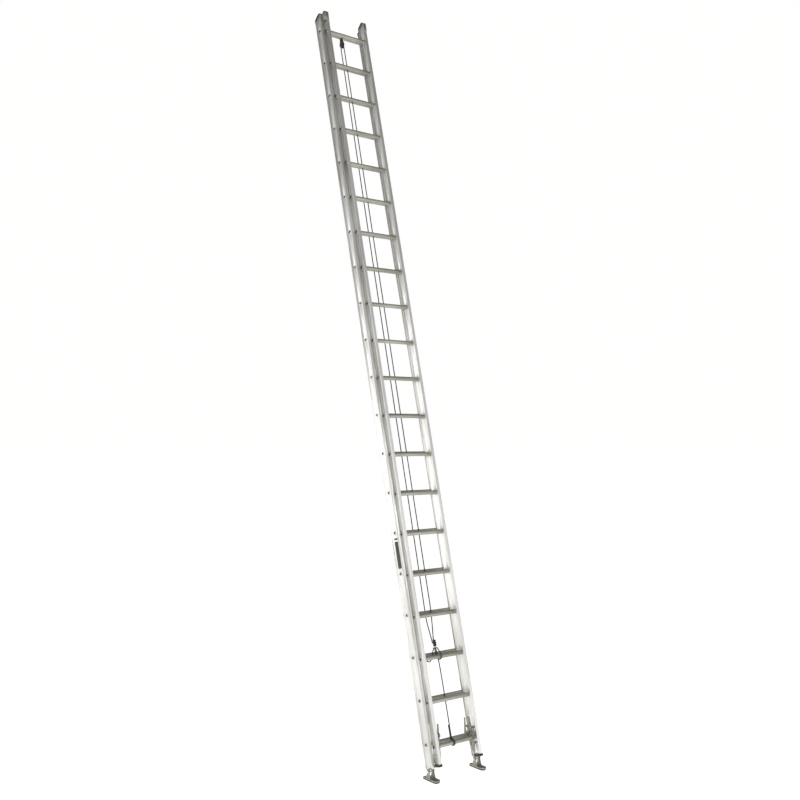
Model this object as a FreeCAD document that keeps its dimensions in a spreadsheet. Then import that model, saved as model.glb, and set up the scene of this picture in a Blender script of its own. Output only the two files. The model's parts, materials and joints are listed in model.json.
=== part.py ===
"""Two-section aluminium extension ladder, leaning at its working angle, as separate pieces.

Row frame, in millimetres: +Z up, the soles flat on z = 0, +X along the rungs, and the front,
where the climber stands, towards -Y. The origin is on the floor, midway between the two shoe
pivots. The ladder's own frame is the row frame turned about the shoe pivots by the lean: its
z runs up the rails from the pivots, and its y is 0 at the middle of the base rails' depth.
"""
import FreeCAD, Part
import math
import os
import Sketcher
from FreeCAD import Placement, Rotation, Vector

doc = FreeCAD.newDocument("extension_ladder")

# ---------------------------------------------------------------- driving dimensions

SIZES = {
    # stance: the rails lean back from upright, pivoting on the shoes
    "lean": 14.5, "pivot_height": 62,
    # sections and rungs
    "rung_total": 20, "rung_pitch": 304.8, "rail_length": 6096, "base_first": 161,
    "fly_first": 131, "section_gap": 3, "base_rung_back": 6, "fly_rung_back": 5,
    "fly_settle": 6,
    # rails
    "rail_depth": 76, "flange_width": 26, "flange_thick": 3, "web_thick": 2.4,
    "root_round": 2, "base_web": 221, "nest_gap": 1, "rail_drop": 19,
    "top_slant_flat": 26, "top_slant_drop": 26, "fly_nose": 20,
    "cope_depth": 12, "cope_height": 291, "cope_round": 8,
    # rungs: a hollow D with a ribbed flat tread, swaged through the rail webs
    "rung_radius": 16, "tread_height": 14, "tread_groove": 1, "rung_bore": 17,
    "tenon_hole": 22.4, "tenon_gap": 0.1, "swage_size": 27, "swage_proud": 3, "swage_edge": 1,
    # plastic end caps
    "cap_wall": 2.4, "cap_gap": 0.2, "cap_skirt": 13, "cap_apron": 30, "cap_floor": 4,
    # brackets that hold the sections together
    "guide_thick": 3, "guide_gap": 0.6, "top_guide_tall": 70, "top_guide_inset": 4,
    "bottom_guide_tall": 58, "bottom_guide_low": 26, "hook_reach": 8,
    # rivets
    "rivet_size": 5, "rivet_head": 9, "rivet_head_tall": 2.4,
    # shoes
    "lug_thick": 3, "lug_inner": 34, "lug_width": 40, "lug_round": 12, "tongue_tall": 62,
    "tongue_width": 30, "ear_thick": 3, "ear_gap": 0.4, "ear_base": 52, "ear_round": 11,
    "bolt_size": 10, "bolt_gap": 0.1, "bolt_head": 17, "bolt_head_tall": 6.4,
    "bolt_tip": 4,
    "plate_width": 56, "plate_heel": 55, "plate_toe": 85, "toe_corner": 15, "plate_low": 10,
    "plate_thick": 4, "rim_wall": 4, "rim_tall": 8, "rib_wide": 4, "rib_tall": 3, "pad_margin": 2,
    # rope pulley under the top rung of the base
    "strap_gap": 0.3, "strap_thick": 2.5, "strap_wide": 14, "pulley_pin_drop": 27,
    "pulley_pin_size": 6, "sheave_drop": 67, "sheave_rope_radius": 21.2, "sheave_rim": 25,
    "sheave_wide": 14, "sheave_bore": 8, "groove_gap": 0.7, "cheek_thick": 2.6, "cheek_gap": 0.7,
    "cheek_head": 9, "cheek_belly": 22, "cheek_bar": 6, "pulley_side": -8,
    # rope
    "rope_size": 9, "rope_ease": 0.3,
    # rung locks
    "lock_plate_in": 34, "lock_plate": 5, "lock_top": 152, "lock_tail": 105, "lock_pin_back": 22,
    "lock_pin_up": 36, "lock_pin_size": 8, "lock_boss": 10, "lock_hook_thick": 11,
    "lock_seat_gap": 0.4, "lock_hook_wall": 9, "lock_hook_turn": 132, "lock_finger_thick": 7, "lock_spring_wire": 3,
    "lock_spring_room": 16, "lock_part_gap": 0.6, "boss_size": 15,
    "lock_back_gap": 2, "lock_head_flange": 5, "lock_head_tall": 2.4, "lock_head_gap": 0.4,
    "lock_hole_gap": 0.3, "pin_gap": 0.1,
    # label
    "label_tall": 227, "label_wide": 44, "label_thick": 0.5,
}

sheet = doc.addObject("Spreadsheet::Sheet", "Sizes")
for row, (alias, size) in enumerate(SIZES.items(), start=1):
    sheet.set(f"A{row}", alias)
    sheet.set(f"B{row}", str(size))
    sheet.setAlias(f"B{row}", alias)
doc.recompute()


def S(alias):
    """The expression of one cell."""
    return f"Sizes.{alias}"


def number(expression):
    """The present value of an expression."""
    return float(sheet.evalExpression(str(expression)))


# ---------------------------------------------------------------- places shared by pieces

HALF_FLANGE = "(Sizes.flange_width / 2)"
HALF_WEB = "(Sizes.web_thick / 2)"
HALF_DEPTH = "(Sizes.rail_depth / 2)"
BASE_WEB = "Sizes.base_web"
FLY_WEB = "(Sizes.base_web - Sizes.flange_width - Sizes.nest_gap)"
BASE_RUNG_Y = "Sizes.base_rung_back"
# the fly stands in front of the base: its rails pass the base rungs with the section gap between
FLY_Y = f"({BASE_RUNG_Y} - Sizes.rung_radius - Sizes.section_gap - {HALF_DEPTH})"
FLY_RUNG_Y = f"({FLY_Y} + Sizes.fly_rung_back)"
RUNG_SPACING = f"({BASE_RUNG_Y} - {FLY_RUNG_Y})"
# and it stands lower along the rails, so that its rungs are nearly level with the base's
FLY_DROP = f"({RUNG_SPACING} * tan(Sizes.lean) + Sizes.fly_settle)"
BASE_FOOT = "Sizes.rail_drop"
BASE_RUNG_Z = "(Sizes.rail_drop + Sizes.base_first)"
FLY_RUNG_Z = f"({BASE_RUNG_Z} - {FLY_DROP})"
FLY_FOOT = f"({FLY_RUNG_Z} - Sizes.fly_first)"
BASE_TOP = f"({BASE_FOOT} + Sizes.rail_length)"
FLY_TOP = f"({FLY_FOOT} + Sizes.rail_length)"
TOP_RUNG_Z = f"({BASE_RUNG_Z} + (Sizes.rung_total - 1) * Sizes.rung_pitch)"
# the shoe's ears stand just outside the lugs of the foot bracket
EAR_INNER = "(Sizes.lug_inner / 2 + Sizes.lug_thick + Sizes.ear_gap)"
EAR_OUTER = f"({EAR_INNER} + Sizes.ear_thick)"
# the rope's line on the base section runs a little clear of the base rungs
STRAND_FRONT_Y = f"({BASE_RUNG_Y} - Sizes.sheave_rope_radius)"
STRAND_BACK_Y = f"({BASE_RUNG_Y} + Sizes.sheave_rope_radius)"

SIDES = (("left", -1), ("right", 1))

# ---------------------------------------------------------------- where the rivets go

RIVET_HOLE = "(Sizes.rivet_size + 2 * Sizes.bolt_gap)"
# through the top guide's foot and the base rail's front flange: distances below the base's top
GUIDE_FOOT_X = f"({BASE_WEB} + {HALF_FLANGE})"
GUIDE_RIVET_X = f"({GUIDE_FOOT_X} - 5)"
GUIDE_LOW = f"({BASE_TOP} - Sizes.top_guide_inset - Sizes.top_guide_tall)"
GUIDE_RIVETS = [f"({GUIDE_LOW} + Sizes.top_guide_tall * {share})" for share in (0.22, 0.78)]
# through the foot bracket's tongue and the base rail's web
TONGUE_RIVETS = [f"({BASE_FOOT} + Sizes.tongue_tall * {share})" for share in (0.3, 0.8)]
# one more through the base rail's web, a little below the top rung
WEB_RIVET = f"({TOP_RUNG_Z} - 56)"
# through the bottom guide and the fly rail's web
RUNNER_Y = f"(-{HALF_DEPTH} * 0.3)"
RUNNER_RIVETS = [f"(Sizes.bottom_guide_low + Sizes.bottom_guide_tall * {share})"
                 for share in (0.25, 0.75)]
# through the lock plate's bosses and the fly rail's web: backwards and upwards of the rung
LOCK_BOSSES = (("-8", "70"), ("-8", "-38"))


# ---------------------------------------------------------------- modelling helpers


def place(piece, x="0", y="0", z="0", leaning=True):
    """Puts a piece at a point of the ladder's frame, or of the upright frame at the pivots."""
    angle = "-Sizes.lean" if leaning else "0"
    piece.Placement = Placement(Vector(0, 0, 0), Rotation(Vector(1, 0, 0), 1))
    piece.setExpression(".Placement.Rotation.Angle", angle)
    piece.setExpression(".Placement.Base.x", str(x))
    if leaning:
        piece.setExpression(".Placement.Base.y", f"({y}) * cos(Sizes.lean) + ({z}) * sin(Sizes.lean)")
        height = f"Sizes.pivot_height - ({y}) * sin(Sizes.lean) + ({z}) * cos(Sizes.lean)"
    else:
        piece.setExpression(".Placement.Base.y", str(y))
        height = f"Sizes.pivot_height + ({z})"
    piece.setExpression(".Placement.Base.z", height)


def leaning_placement():
    """The ladder frame's placement, for shapes that are made whole in that frame."""
    return Placement(Vector(0, 0, number(S("pivot_height"))),
                     Rotation(Vector(1, 0, 0), -number(S("lean"))))


def new_body(label):
    body = doc.addObject("PartDesign::Body", label)
    body.Label = label
    return body


def origin_feature(body, role):
    return [item for item in body.Origin.OriginFeatures if item.Role == role][0]


def new_sketch(body, role, height="0", turned=None):
    """A sketch on an origin plane, lifted along the plane's normal and turned about it."""
    sketch = body.newObject("Sketcher::SketchObject", f"{body.Label}_sketch")
    sketch.AttachmentSupport = (origin_feature(body, role), [""])
    sketch.MapMode = "FlatFace"
    sketch.setExpression("AttachmentOffset.Base.z", str(height))
    if turned:
        sketch.setExpression("AttachmentOffset.Rotation.Angle", turned)
    return sketch


def pin_point(sketch, geometry, vertex, across, up):
    """Fixes one vertex of a sketch at two expressions."""
    for kind, expression in (("DistanceX", across), ("DistanceY", up)):
        constraint = Sketcher.Constraint(kind, -1, 1, geometry, vertex, number(expression))
        index = sketch.addConstraint(constraint)
        sketch.setExpression(f"Constraints[{index}]", str(expression))


def polygon(sketch, points):
    """A closed outline of straight lines through points given as pairs of expressions."""
    places = [Vector(number(across), number(up), 0) for across, up in points]
    first = sketch.GeometryCount
    for start, end in zip(places, places[1:] + places[:1]):
        sketch.addGeometry(Part.LineSegment(start, end))
    for index, (across, up) in enumerate(points):
        following = first + (index + 1) % len(points)
        sketch.addConstraint(Sketcher.Constraint("Coincident", first + index, 2, following, 1))
        pin_point(sketch, first + index, 1, across, up)
    return sketch


def circle(sketch, across, up, diameter):
    """A circle given by expressions."""
    centre = Vector(number(across), number(up), 0)
    index = sketch.addGeometry(Part.Circle(centre, Vector(0, 0, 1), number(diameter) / 2))
    pin_point(sketch, index, 3, across, up)
    size = sketch.addConstraint(Sketcher.Constraint("Diameter", index, number(diameter)))
    sketch.setExpression(f"Constraints[{size}]", str(diameter))
    return sketch


def settle(feature):
    """Recomputes, and stops if the feature could not be made."""
    doc.recompute()
    if "Invalid" in feature.State or feature.Shape.isNull():
        faults = [item.Label for item in doc.Objects if "Invalid" in item.State]
        raise RuntimeError(f"{feature.Label}: {feature.getStatusString()}, with faults in {faults}")


def pad(body, sketch, length, both_ways=False, reverse=False):
    feature = body.newObject("PartDesign::Pad", f"{body.Label}_pad")
    feature.Profile = sketch
    feature.SideType = "Symmetric" if both_ways else "One side"
    feature.Reversed = reverse
    feature.setExpression("Length", str(length))
    settle(feature)
    return feature


def pocket(body, sketch, depth=None):
    """Cuts a sketch right through the body, both ways, or to a depth against its normal."""
    before = body.Shape.Volume
    feature = body.newObject("PartDesign::Pocket", f"{body.Label}_pocket")
    feature.Profile = sketch
    if depth:
        feature.setExpression("Length", depth)
    else:
        feature.Type = "ThroughAll"
        feature.SideType = "Symmetric"
    settle(feature)
    if body.Shape.Volume >= before:
        raise RuntimeError(f"{body.Label}: a pocket cuts nothing")
    return feature


def row_of(body, features, role, pitch, count, whole=False):
    """Repeats features, or the whole body, along one of the body's axes."""
    pattern = body.newObject("PartDesign::LinearPattern", f"{body.Label}_row")
    pattern.TransformMode = "Whole shape" if whole else "Features"
    if not whole:
        pattern.Originals = features
    pattern.Direction = (origin_feature(body, role), [""])
    pattern.Mode = "Spacing"
    pattern.setExpression("Offset", str(pitch))
    pattern.setExpression("Occurrences", str(count))
    body.Tip = pattern
    settle(pattern)
    return pattern


# which two coordinates a corner has, for edges along each axis
PLANE_AXES = {"x": (1, 2), "y": (0, 2), "z": (0, 1)}


def round_corners(body, axis, corners, radius):
    """Rounds the body's edges that run along an axis through the given corners."""
    base = body.Tip
    one, two = PLANE_AXES[axis]
    wanted = [(number(across), number(up)) for across, up in corners]
    names = []
    for index, edge in enumerate(base.Shape.Edges, start=1):
        ends = [vertex.Point for vertex in edge.Vertexes]
        if len(ends) != 2 or not isinstance(edge.Curve, Part.Line):
            continue
        for across, up in wanted:
            off = max(max(abs(end[one] - across), abs(end[two] - up)) for end in ends)
            if off < 0.01:
                names.append(f"Edge{index}")
    if len(names) < len(wanted):
        raise RuntimeError(f"{body.Label}: {len(names)} edges found for {len(wanted)} corners")
    feature = body.newObject("PartDesign::Fillet", f"{body.Label}_round")
    feature.Base = (base, names)
    feature.setExpression("Radius", str(radius))
    settle(feature)
    return feature


def mirrored(side, points):
    """Points of an outline whose first coordinate is measured outwards from the middle."""
    return [(f"{side} * ({across})", up) for across, up in points]


# ---------------------------------------------------------------- rails


def rail(label, rung_y, first_rung):
    """An I-beam rail, its foot at the body's origin, with a row of rung holes in the web."""
    body = new_body(label)
    flange = f"({HALF_DEPTH} - Sizes.flange_thick)"
    outline = [(f"-{HALF_FLANGE}", f"-{HALF_DEPTH}"), (HALF_FLANGE, f"-{HALF_DEPTH}"),
               (HALF_FLANGE, f"-{flange}"), (HALF_WEB, f"-{flange}"),
               (HALF_WEB, flange), (HALF_FLANGE, flange),
               (HALF_FLANGE, HALF_DEPTH), (f"-{HALF_FLANGE}", HALF_DEPTH),
               (f"-{HALF_FLANGE}", flange), (f"-{HALF_WEB}", flange),
               (f"-{HALF_WEB}", f"-{flange}"), (f"-{HALF_FLANGE}", f"-{flange}")]
    pad(body, polygon(new_sketch(body, "XY_Plane"), outline), S("rail_length"))
    roots = [outline[index] for index in (3, 4, 9, 10)]
    round_corners(body, "z", roots, S("root_round"))
    holes = circle(new_sketch(body, "YZ_Plane"), rung_y, first_rung, S("tenon_hole"))
    hole = pocket(body, holes)
    row_of(body, [hole], "Z_Axis", S("rung_pitch"), S("rung_total"))
    return body


def slant_top(body):
    """Cuts the rear corner of the rail's top at a slant."""
    over = "5"
    start = f"(Sizes.top_slant_flat - {HALF_DEPTH})"
    low = "(Sizes.rail_length - Sizes.top_slant_drop)"
    pocket(body, polygon(new_sketch(body, "YZ_Plane"), [
        (start, S("rail_length")), (HALF_DEPTH, low), (f"{HALF_DEPTH} + {over}", low),
        (f"{HALF_DEPTH} + {over}", f"Sizes.rail_length + {over}"),
        (start, f"Sizes.rail_length + {over}")]))


def base_rail(label, side):
    """The base's rail, with rivet holes for the foot bracket and for the top guide."""
    body = rail(label, BASE_RUNG_Y, S("base_first"))
    slant_top(body)
    tongue = new_sketch(body, "YZ_Plane")
    for up in TONGUE_RIVETS + [WEB_RIVET]:
        circle(tongue, "0", f"{up} - {BASE_FOOT}", RIVET_HOLE)
    pocket(body, tongue)
    flange = new_sketch(body, "XZ_Plane", HALF_DEPTH)
    for up in GUIDE_RIVETS:
        circle(flange, f"{side} * ({GUIDE_RIVET_X} - {BASE_WEB})", f"{up} - {BASE_FOOT}", RIVET_HOLE)
    pocket(body, flange, "2 * Sizes.flange_thick")
    place(body, f"{side} * {BASE_WEB}", "0", BASE_FOOT)


def fly_rail(label, side):
    """The fly's rail: its nose is rounded, and its rear flange is coped round the lock."""
    body = rail(label, S("fly_rung_back"), S("fly_first"))
    slant_top(body)
    nose = new_sketch(body, "YZ_Plane")
    over = "5"
    inner_y = f"(Sizes.fly_nose - {HALF_DEPTH})"
    inner_z = "(Sizes.rail_length - Sizes.fly_nose)"
    centre = Vector(number(inner_y), number(inner_z), 0)
    radius = number(S("fly_nose"))
    arc = Part.ArcOfCircle(Part.Circle(centre, Vector(0, 0, 1), radius), math.pi / 2, math.pi)
    nose.addGeometry(arc)
    pin_point(nose, 0, 3, inner_y, inner_z)
    pin_point(nose, 0, 1, inner_y, S("rail_length"))
    corner = [(inner_y, S("rail_length")), (inner_y, f"Sizes.rail_length + {over}"),
              (f"-{HALF_DEPTH} - {over}", f"Sizes.rail_length + {over}"),
              (f"-{HALF_DEPTH} - {over}", inner_z), (f"-{HALF_DEPTH}", inner_z)]
    places = [Vector(number(across), number(up), 0) for across, up in corner]
    for index in range(len(corner) - 1):
        nose.addGeometry(Part.LineSegment(places[index], places[index + 1]))
    for index in range(1, len(corner) - 1):
        nose.addConstraint(Sketcher.Constraint("Coincident", index, 2, index + 1, 1))
        pin_point(nose, index + 1, 1, *corner[index])
    nose.addConstraint(Sketcher.Constraint("Coincident", 0, 1, 1, 1))
    nose.addConstraint(Sketcher.Constraint("Coincident", 0, 2, len(corner) - 1, 2))
    nose.addConstraint(Sketcher.Constraint("Horizontal", len(corner) - 1))
    pocket(body, nose)
    edge = f"({HALF_DEPTH} - Sizes.cope_depth)"
    pocket(body, polygon(new_sketch(body, "YZ_Plane"), [
        (edge, f"-{over}"), (f"{HALF_DEPTH} + {over}", f"-{over}"),
        (f"{HALF_DEPTH} + {over}", S("cope_height")), (edge, S("cope_height"))]))
    round_corners(body, "x", [(edge, S("cope_height"))], S("cope_round"))
    rivets = new_sketch(body, "YZ_Plane")
    for up in RUNNER_RIVETS:
        circle(rivets, RUNNER_Y, up, RIVET_HOLE)
    for back, up in LOCK_BOSSES:
        circle(rivets, f"Sizes.fly_rung_back + {back}", f"Sizes.fly_first + {up}", RIVET_HOLE)
    pocket(body, rivets)
    place(body, f"{side} * {FLY_WEB}", FLY_Y, FLY_FOOT)


# ---------------------------------------------------------------- rungs

TREAD_RIBS = 5
RUNGS_PER_GROUP = 4


def rung_outline(sketch):
    """A D: a round underside, closed by a flat tread with shallow grooves along it."""
    half = "sqrt(Sizes.rung_radius^2 - Sizes.tread_height^2)"
    steps = 4 * TREAD_RIBS - 2
    tread = [(half, S("tread_height"))]
    for step in range(1, steps):
        share = 1 - 2 * step / steps
        low = (step % 4) in (2, 3)
        up = "Sizes.tread_height - Sizes.tread_groove" if low else S("tread_height")
        tread.append((f"{half} * {share}", up))
    tread.append((f"-{half}", S("tread_height")))
    places = [Vector(number(across), number(up), 0) for across, up in tread]
    for start, end in zip(places, places[1:]):
        sketch.addGeometry(Part.LineSegment(start, end))
    radius = number(S("rung_radius"))
    level = math.asin(number(S("tread_height")) / radius)
    round_part = Part.Circle(Vector(0, 0, 0), Vector(0, 0, 1), radius)
    arc = sketch.addGeometry(Part.ArcOfCircle(round_part, math.pi - level, 2 * math.pi + level))
    last = len(tread) - 2
    for index in range(last):
        sketch.addConstraint(Sketcher.Constraint("Coincident", index, 2, index + 1, 1))
    for index in range(last + 1):
        pin_point(sketch, index, 1, *tread[index])
    sketch.addConstraint(Sketcher.Constraint("Coincident", -1, 1, arc, 3))
    sketch.addConstraint(Sketcher.Constraint("Coincident", last, 2, arc, 1))
    sketch.addConstraint(Sketcher.Constraint("Coincident", 0, 1, arc, 2))
    sketch.addConstraint(Sketcher.Constraint("Horizontal", 0, 1, last, 2))
    return sketch


def rungs(label, web, rung_y, lowest_rung, first):
    """Four rungs, from one number upwards: tread, tenons through the webs, swaged rims, bore."""
    body = new_body(label)
    inner = f"({web} - {HALF_WEB})"
    outer = f"({web} + {HALF_WEB})"
    tip = f"({outer} + Sizes.swage_proud)"
    pad(body, rung_outline(new_sketch(body, "YZ_Plane", turned=S("lean"))), f"2 * {inner}", True)
    tenon = circle(new_sketch(body, "YZ_Plane"), "0", "0", "Sizes.tenon_hole - 2 * Sizes.tenon_gap")
    pad(body, tenon, f"2 * {tip}", True)
    for side in (-1, 1):
        rim = new_sketch(body, "YZ_Plane", f"{side} * {outer}")
        pad(body, circle(rim, "0", "0", S("swage_size")), S("swage_proud"), reverse=side < 0)
    rimmed = body.Tip
    rims = [f"Edge{index}" for index, edge in enumerate(rimmed.Shape.Edges, start=1)
            if isinstance(edge.Curve, Part.Circle)
            and abs(edge.Curve.Radius - number(S("swage_size")) / 2) < 0.01
            and abs(abs(edge.Curve.Center.x) - number(tip)) < 0.01]
    soft = body.newObject("PartDesign::Fillet", f"{label}_rims")
    soft.Base = (rimmed, rims)
    soft.setExpression("Radius", S("swage_edge"))
    settle(soft)
    pocket(body, circle(new_sketch(body, "YZ_Plane"), "0", "0", S("rung_bore")))
    row_of(body, [], "Z_Axis", S("rung_pitch"), RUNGS_PER_GROUP, whole=True)
    place(body, "0", rung_y, f"{lowest_rung} + {first - 1} * Sizes.rung_pitch")


# ---------------------------------------------------------------- end caps


def top_cap(label, side, web, y, top, whole):
    """A plastic cap on the slanted end, down a skirt behind; whole also covers the flat."""
    body = new_body(label)
    floor = S("cap_floor")
    start = f"(Sizes.top_slant_flat - {HALF_DEPTH})"
    back_in = f"({HALF_DEPTH} + Sizes.cap_gap)"
    back_out = f"({back_in} + Sizes.cap_wall)"
    drop = "-Sizes.top_slant_drop"
    hem = f"{drop} - Sizes.cap_apron"
    lift = f"{floor} * Sizes.top_slant_drop / ({HALF_DEPTH} - {start})"
    front = f"(-{HALF_DEPTH})" if whole else f"({start} - Sizes.cap_floor * 2)"
    outline = [(back_in, hem), (back_in, drop), (HALF_DEPTH, drop), (start, "0"), (front, "0"),
               (front, floor), (f"{start} + {floor} / 2", floor), (back_out, f"{drop} + {lift}"),
               (back_out, hem)]
    # as wide as the flanges: the sections pass each other with less than the nest gap between
    width = "Sizes.flange_width + 0.6 * Sizes.nest_gap"
    pad(body, polygon(new_sketch(body, "YZ_Plane"), outline), width, True)
    soft = [outline[index] for index in (5, 6, 7)]
    round_corners(body, "x", soft, S("cap_wall"))
    place(body, f"{side} * {web}", y, top)


def bottom_cap(label, side):
    """A plastic cup over the fly rail's foot."""
    body = new_body(label)
    inner_x = f"({HALF_FLANGE} + Sizes.cap_gap)"
    front = f"(-{HALF_DEPTH} - Sizes.cap_gap)"
    back = f"({HALF_DEPTH} - Sizes.cope_depth + Sizes.cap_gap)"
    wall = S("cap_wall")
    outer = [(f"-{inner_x} - {wall}", f"{front} - {wall}"), (f"{inner_x} + {wall}", f"{front} - {wall}"),
             (f"{inner_x} + {wall}", f"{back} + {wall}"), (f"-{inner_x} - {wall}", f"{back} + {wall}")]
    room = [(f"-{inner_x}", front), (inner_x, front), (inner_x, back), (f"-{inner_x}", back)]
    floor = new_sketch(body, "XY_Plane", "-Sizes.cap_floor")
    pad(body, polygon(floor, outer), S("cap_floor"))
    skirt = polygon(new_sketch(body, "XY_Plane"), outer)
    polygon(skirt, room)
    pad(body, skirt, S("cap_skirt"))
    round_corners(body, "z", outer, wall)
    # a slot in the outer wall, where the base rail's front flange passes
    flange_y = f"(-{HALF_DEPTH} - {FLY_Y})"
    slot = [(inner_x, f"{flange_y} - Sizes.nest_gap"), (f"2 * {inner_x}", f"{flange_y} - Sizes.nest_gap"),
            (f"2 * {inner_x}", f"{flange_y} + Sizes.flange_thick + Sizes.nest_gap"),
            (inner_x, f"{flange_y} + Sizes.flange_thick + Sizes.nest_gap")]
    pocket(body, polygon(new_sketch(body, "XY_Plane"), mirrored(side, slot)))
    place(body, f"{side} * {FLY_WEB}", FLY_Y, FLY_FOOT)


# ---------------------------------------------------------------- guides


def top_guide(label, side):
    """A formed bracket: a foot on the base rail's front flange, a wall and a lip round the fly."""
    body = new_body(label)
    wall_in = f"({FLY_WEB} + {HALF_FLANGE} + Sizes.guide_gap)"
    wall_out = f"({wall_in} + Sizes.guide_thick)"
    seat = f"(-{HALF_DEPTH})"
    lip_in = f"({FLY_Y} - {HALF_DEPTH} - Sizes.guide_gap)"
    lip_out = f"({lip_in} - Sizes.guide_thick)"
    end = f"({FLY_WEB} - {HALF_FLANGE})"
    outline = mirrored(side, [
        (GUIDE_FOOT_X, seat), (GUIDE_FOOT_X, f"{seat} - Sizes.guide_thick"), (wall_out, f"{seat} - Sizes.guide_thick"),
        (wall_out, lip_out), (end, lip_out), (end, lip_in), (wall_in, lip_in), (wall_in, seat)])
    pad(body, polygon(new_sketch(body, "XY_Plane"), outline), S("top_guide_tall"))
    round_corners(body, "z", [outline[3]], "Sizes.guide_thick * 0.9")
    rivets = new_sketch(body, "XZ_Plane")
    for up in GUIDE_RIVETS:
        circle(rivets, f"{side} * {GUIDE_RIVET_X}", f"{up} - {GUIDE_LOW}", RIVET_HOLE)
    pocket(body, rivets)
    place(body, "0", "0", GUIDE_LOW)


def bottom_guide(label, side):
    """A channel on the fly's web that runs on the base rail's front flange."""
    body = new_body(label)
    thick = S("guide_thick")
    web = f"({FLY_WEB} + {HALF_WEB})"
    near = f"(-{HALF_DEPTH} - Sizes.guide_gap)"
    far = f"(-{HALF_DEPTH} + Sizes.flange_thick + Sizes.guide_gap)"
    channel = f"({BASE_WEB} - {HALF_FLANGE} - Sizes.guide_gap)"
    reach = f"({BASE_WEB} - {HALF_FLANGE} + Sizes.hook_reach)"
    front = f"({FLY_Y} - {HALF_DEPTH} * 0.6)"
    outline = mirrored(side, [
        (web, front), (f"{web} + {thick}", front), (f"{web} + {thick}", f"{near} - {thick}"),
        (reach, f"{near} - {thick}"), (reach, near), (channel, near), (channel, far),
        (reach, far), (reach, f"{far} + {thick}"), (f"{channel} - {thick}", f"{far} + {thick}"),
        (f"{channel} - {thick}", near), (web, near)])
    pad(body, polygon(new_sketch(body, "XY_Plane"), outline), S("bottom_guide_tall"))
    round_corners(body, "z", [outline[9]], "Sizes.guide_thick * 0.9")
    rivets = new_sketch(body, "YZ_Plane")
    for up in RUNNER_RIVETS:
        circle(rivets, f"{FLY_Y} + {RUNNER_Y}", f"{up} - Sizes.bottom_guide_low", RIVET_HOLE)
    pocket(body, rivets)
    place(body, "0", "0", f"{FLY_FOOT} + Sizes.bottom_guide_low")


# ---------------------------------------------------------------- rivets


def rivet_group(label, rivets):
    """Rivets as separate solids: a shank and two domed heads, each given by end points."""
    shank = number(S("rivet_size")) / 2
    head = number(S("rivet_head")) / 2
    tall = number(S("rivet_head_tall"))
    bowl = (head * head + tall * tall) / (2 * tall)
    solids = []
    for start, end in rivets:
        run = end - start
        along = Vector(run).normalize()
        shape = Part.makeCylinder(shank, run.Length, start, along)
        for place_at, outward in ((start, along.negative()), (end, along)):
            ball = Part.makeSphere(bowl, place_at - outward * (bowl - tall))
            room = Part.makeCylinder(head, tall * 2, place_at, outward)
            shape = shape.fuse(ball.common(room))
        solids.append(shape.removeSplitter())
    group = doc.addObject("Part::Feature", label)
    group.Label = label
    group.Shape = Part.makeCompound(solids)
    group.Placement = leaning_placement()


def base_rivets():
    tongue = number(f"{BASE_WEB} - {HALF_WEB} - Sizes.lug_thick")
    inner_web = number(f"{BASE_WEB} - {HALF_WEB}")
    outer_web = number(f"{BASE_WEB} + {HALF_WEB}")
    front = number(f"-{HALF_DEPTH} - Sizes.guide_thick")
    inside = number(f"-{HALF_DEPTH} + Sizes.flange_thick")
    ends = []
    for side in (-1, 1):
        x = side * number(GUIDE_RIVET_X)
        for up in GUIDE_RIVETS:
            ends.append((Vector(x, front, number(up)), Vector(x, inside, number(up))))
        for up in TONGUE_RIVETS:
            ends.append((Vector(side * tongue, 0, number(up)), Vector(side * outer_web, 0, number(up))))
        top = number(WEB_RIVET)
        ends.append((Vector(side * inner_web, 0, top), Vector(side * outer_web, 0, top)))
    rivet_group("base_rivets", ends)


def fly_rivets():
    inner_web = number(f"{FLY_WEB} - {HALF_WEB}")
    outer_web = number(f"{FLY_WEB} + {HALF_WEB}")
    guide = number(f"{FLY_WEB} + {HALF_WEB} + Sizes.guide_thick")
    plate = number(LOCK_PLATE_IN)
    runner_y = number(f"{FLY_Y} + {RUNNER_Y}")
    ends = []
    for side in (-1, 1):
        for up in RUNNER_RIVETS:
            z = number(f"{FLY_FOOT} + {up}")
            ends.append((Vector(side * inner_web, runner_y, z), Vector(side * guide, runner_y, z)))
        for back, up in LOCK_BOSSES:
            y = number(f"{FLY_RUNG_Y} + {back}")
            z = number(f"{FLY_RUNG_Z} + {up}")
            ends.append((Vector(side * plate, y, z), Vector(side * outer_web, y, z)))
    rivet_group("fly_rivets", ends)


# ---------------------------------------------------------------- shoes


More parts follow.
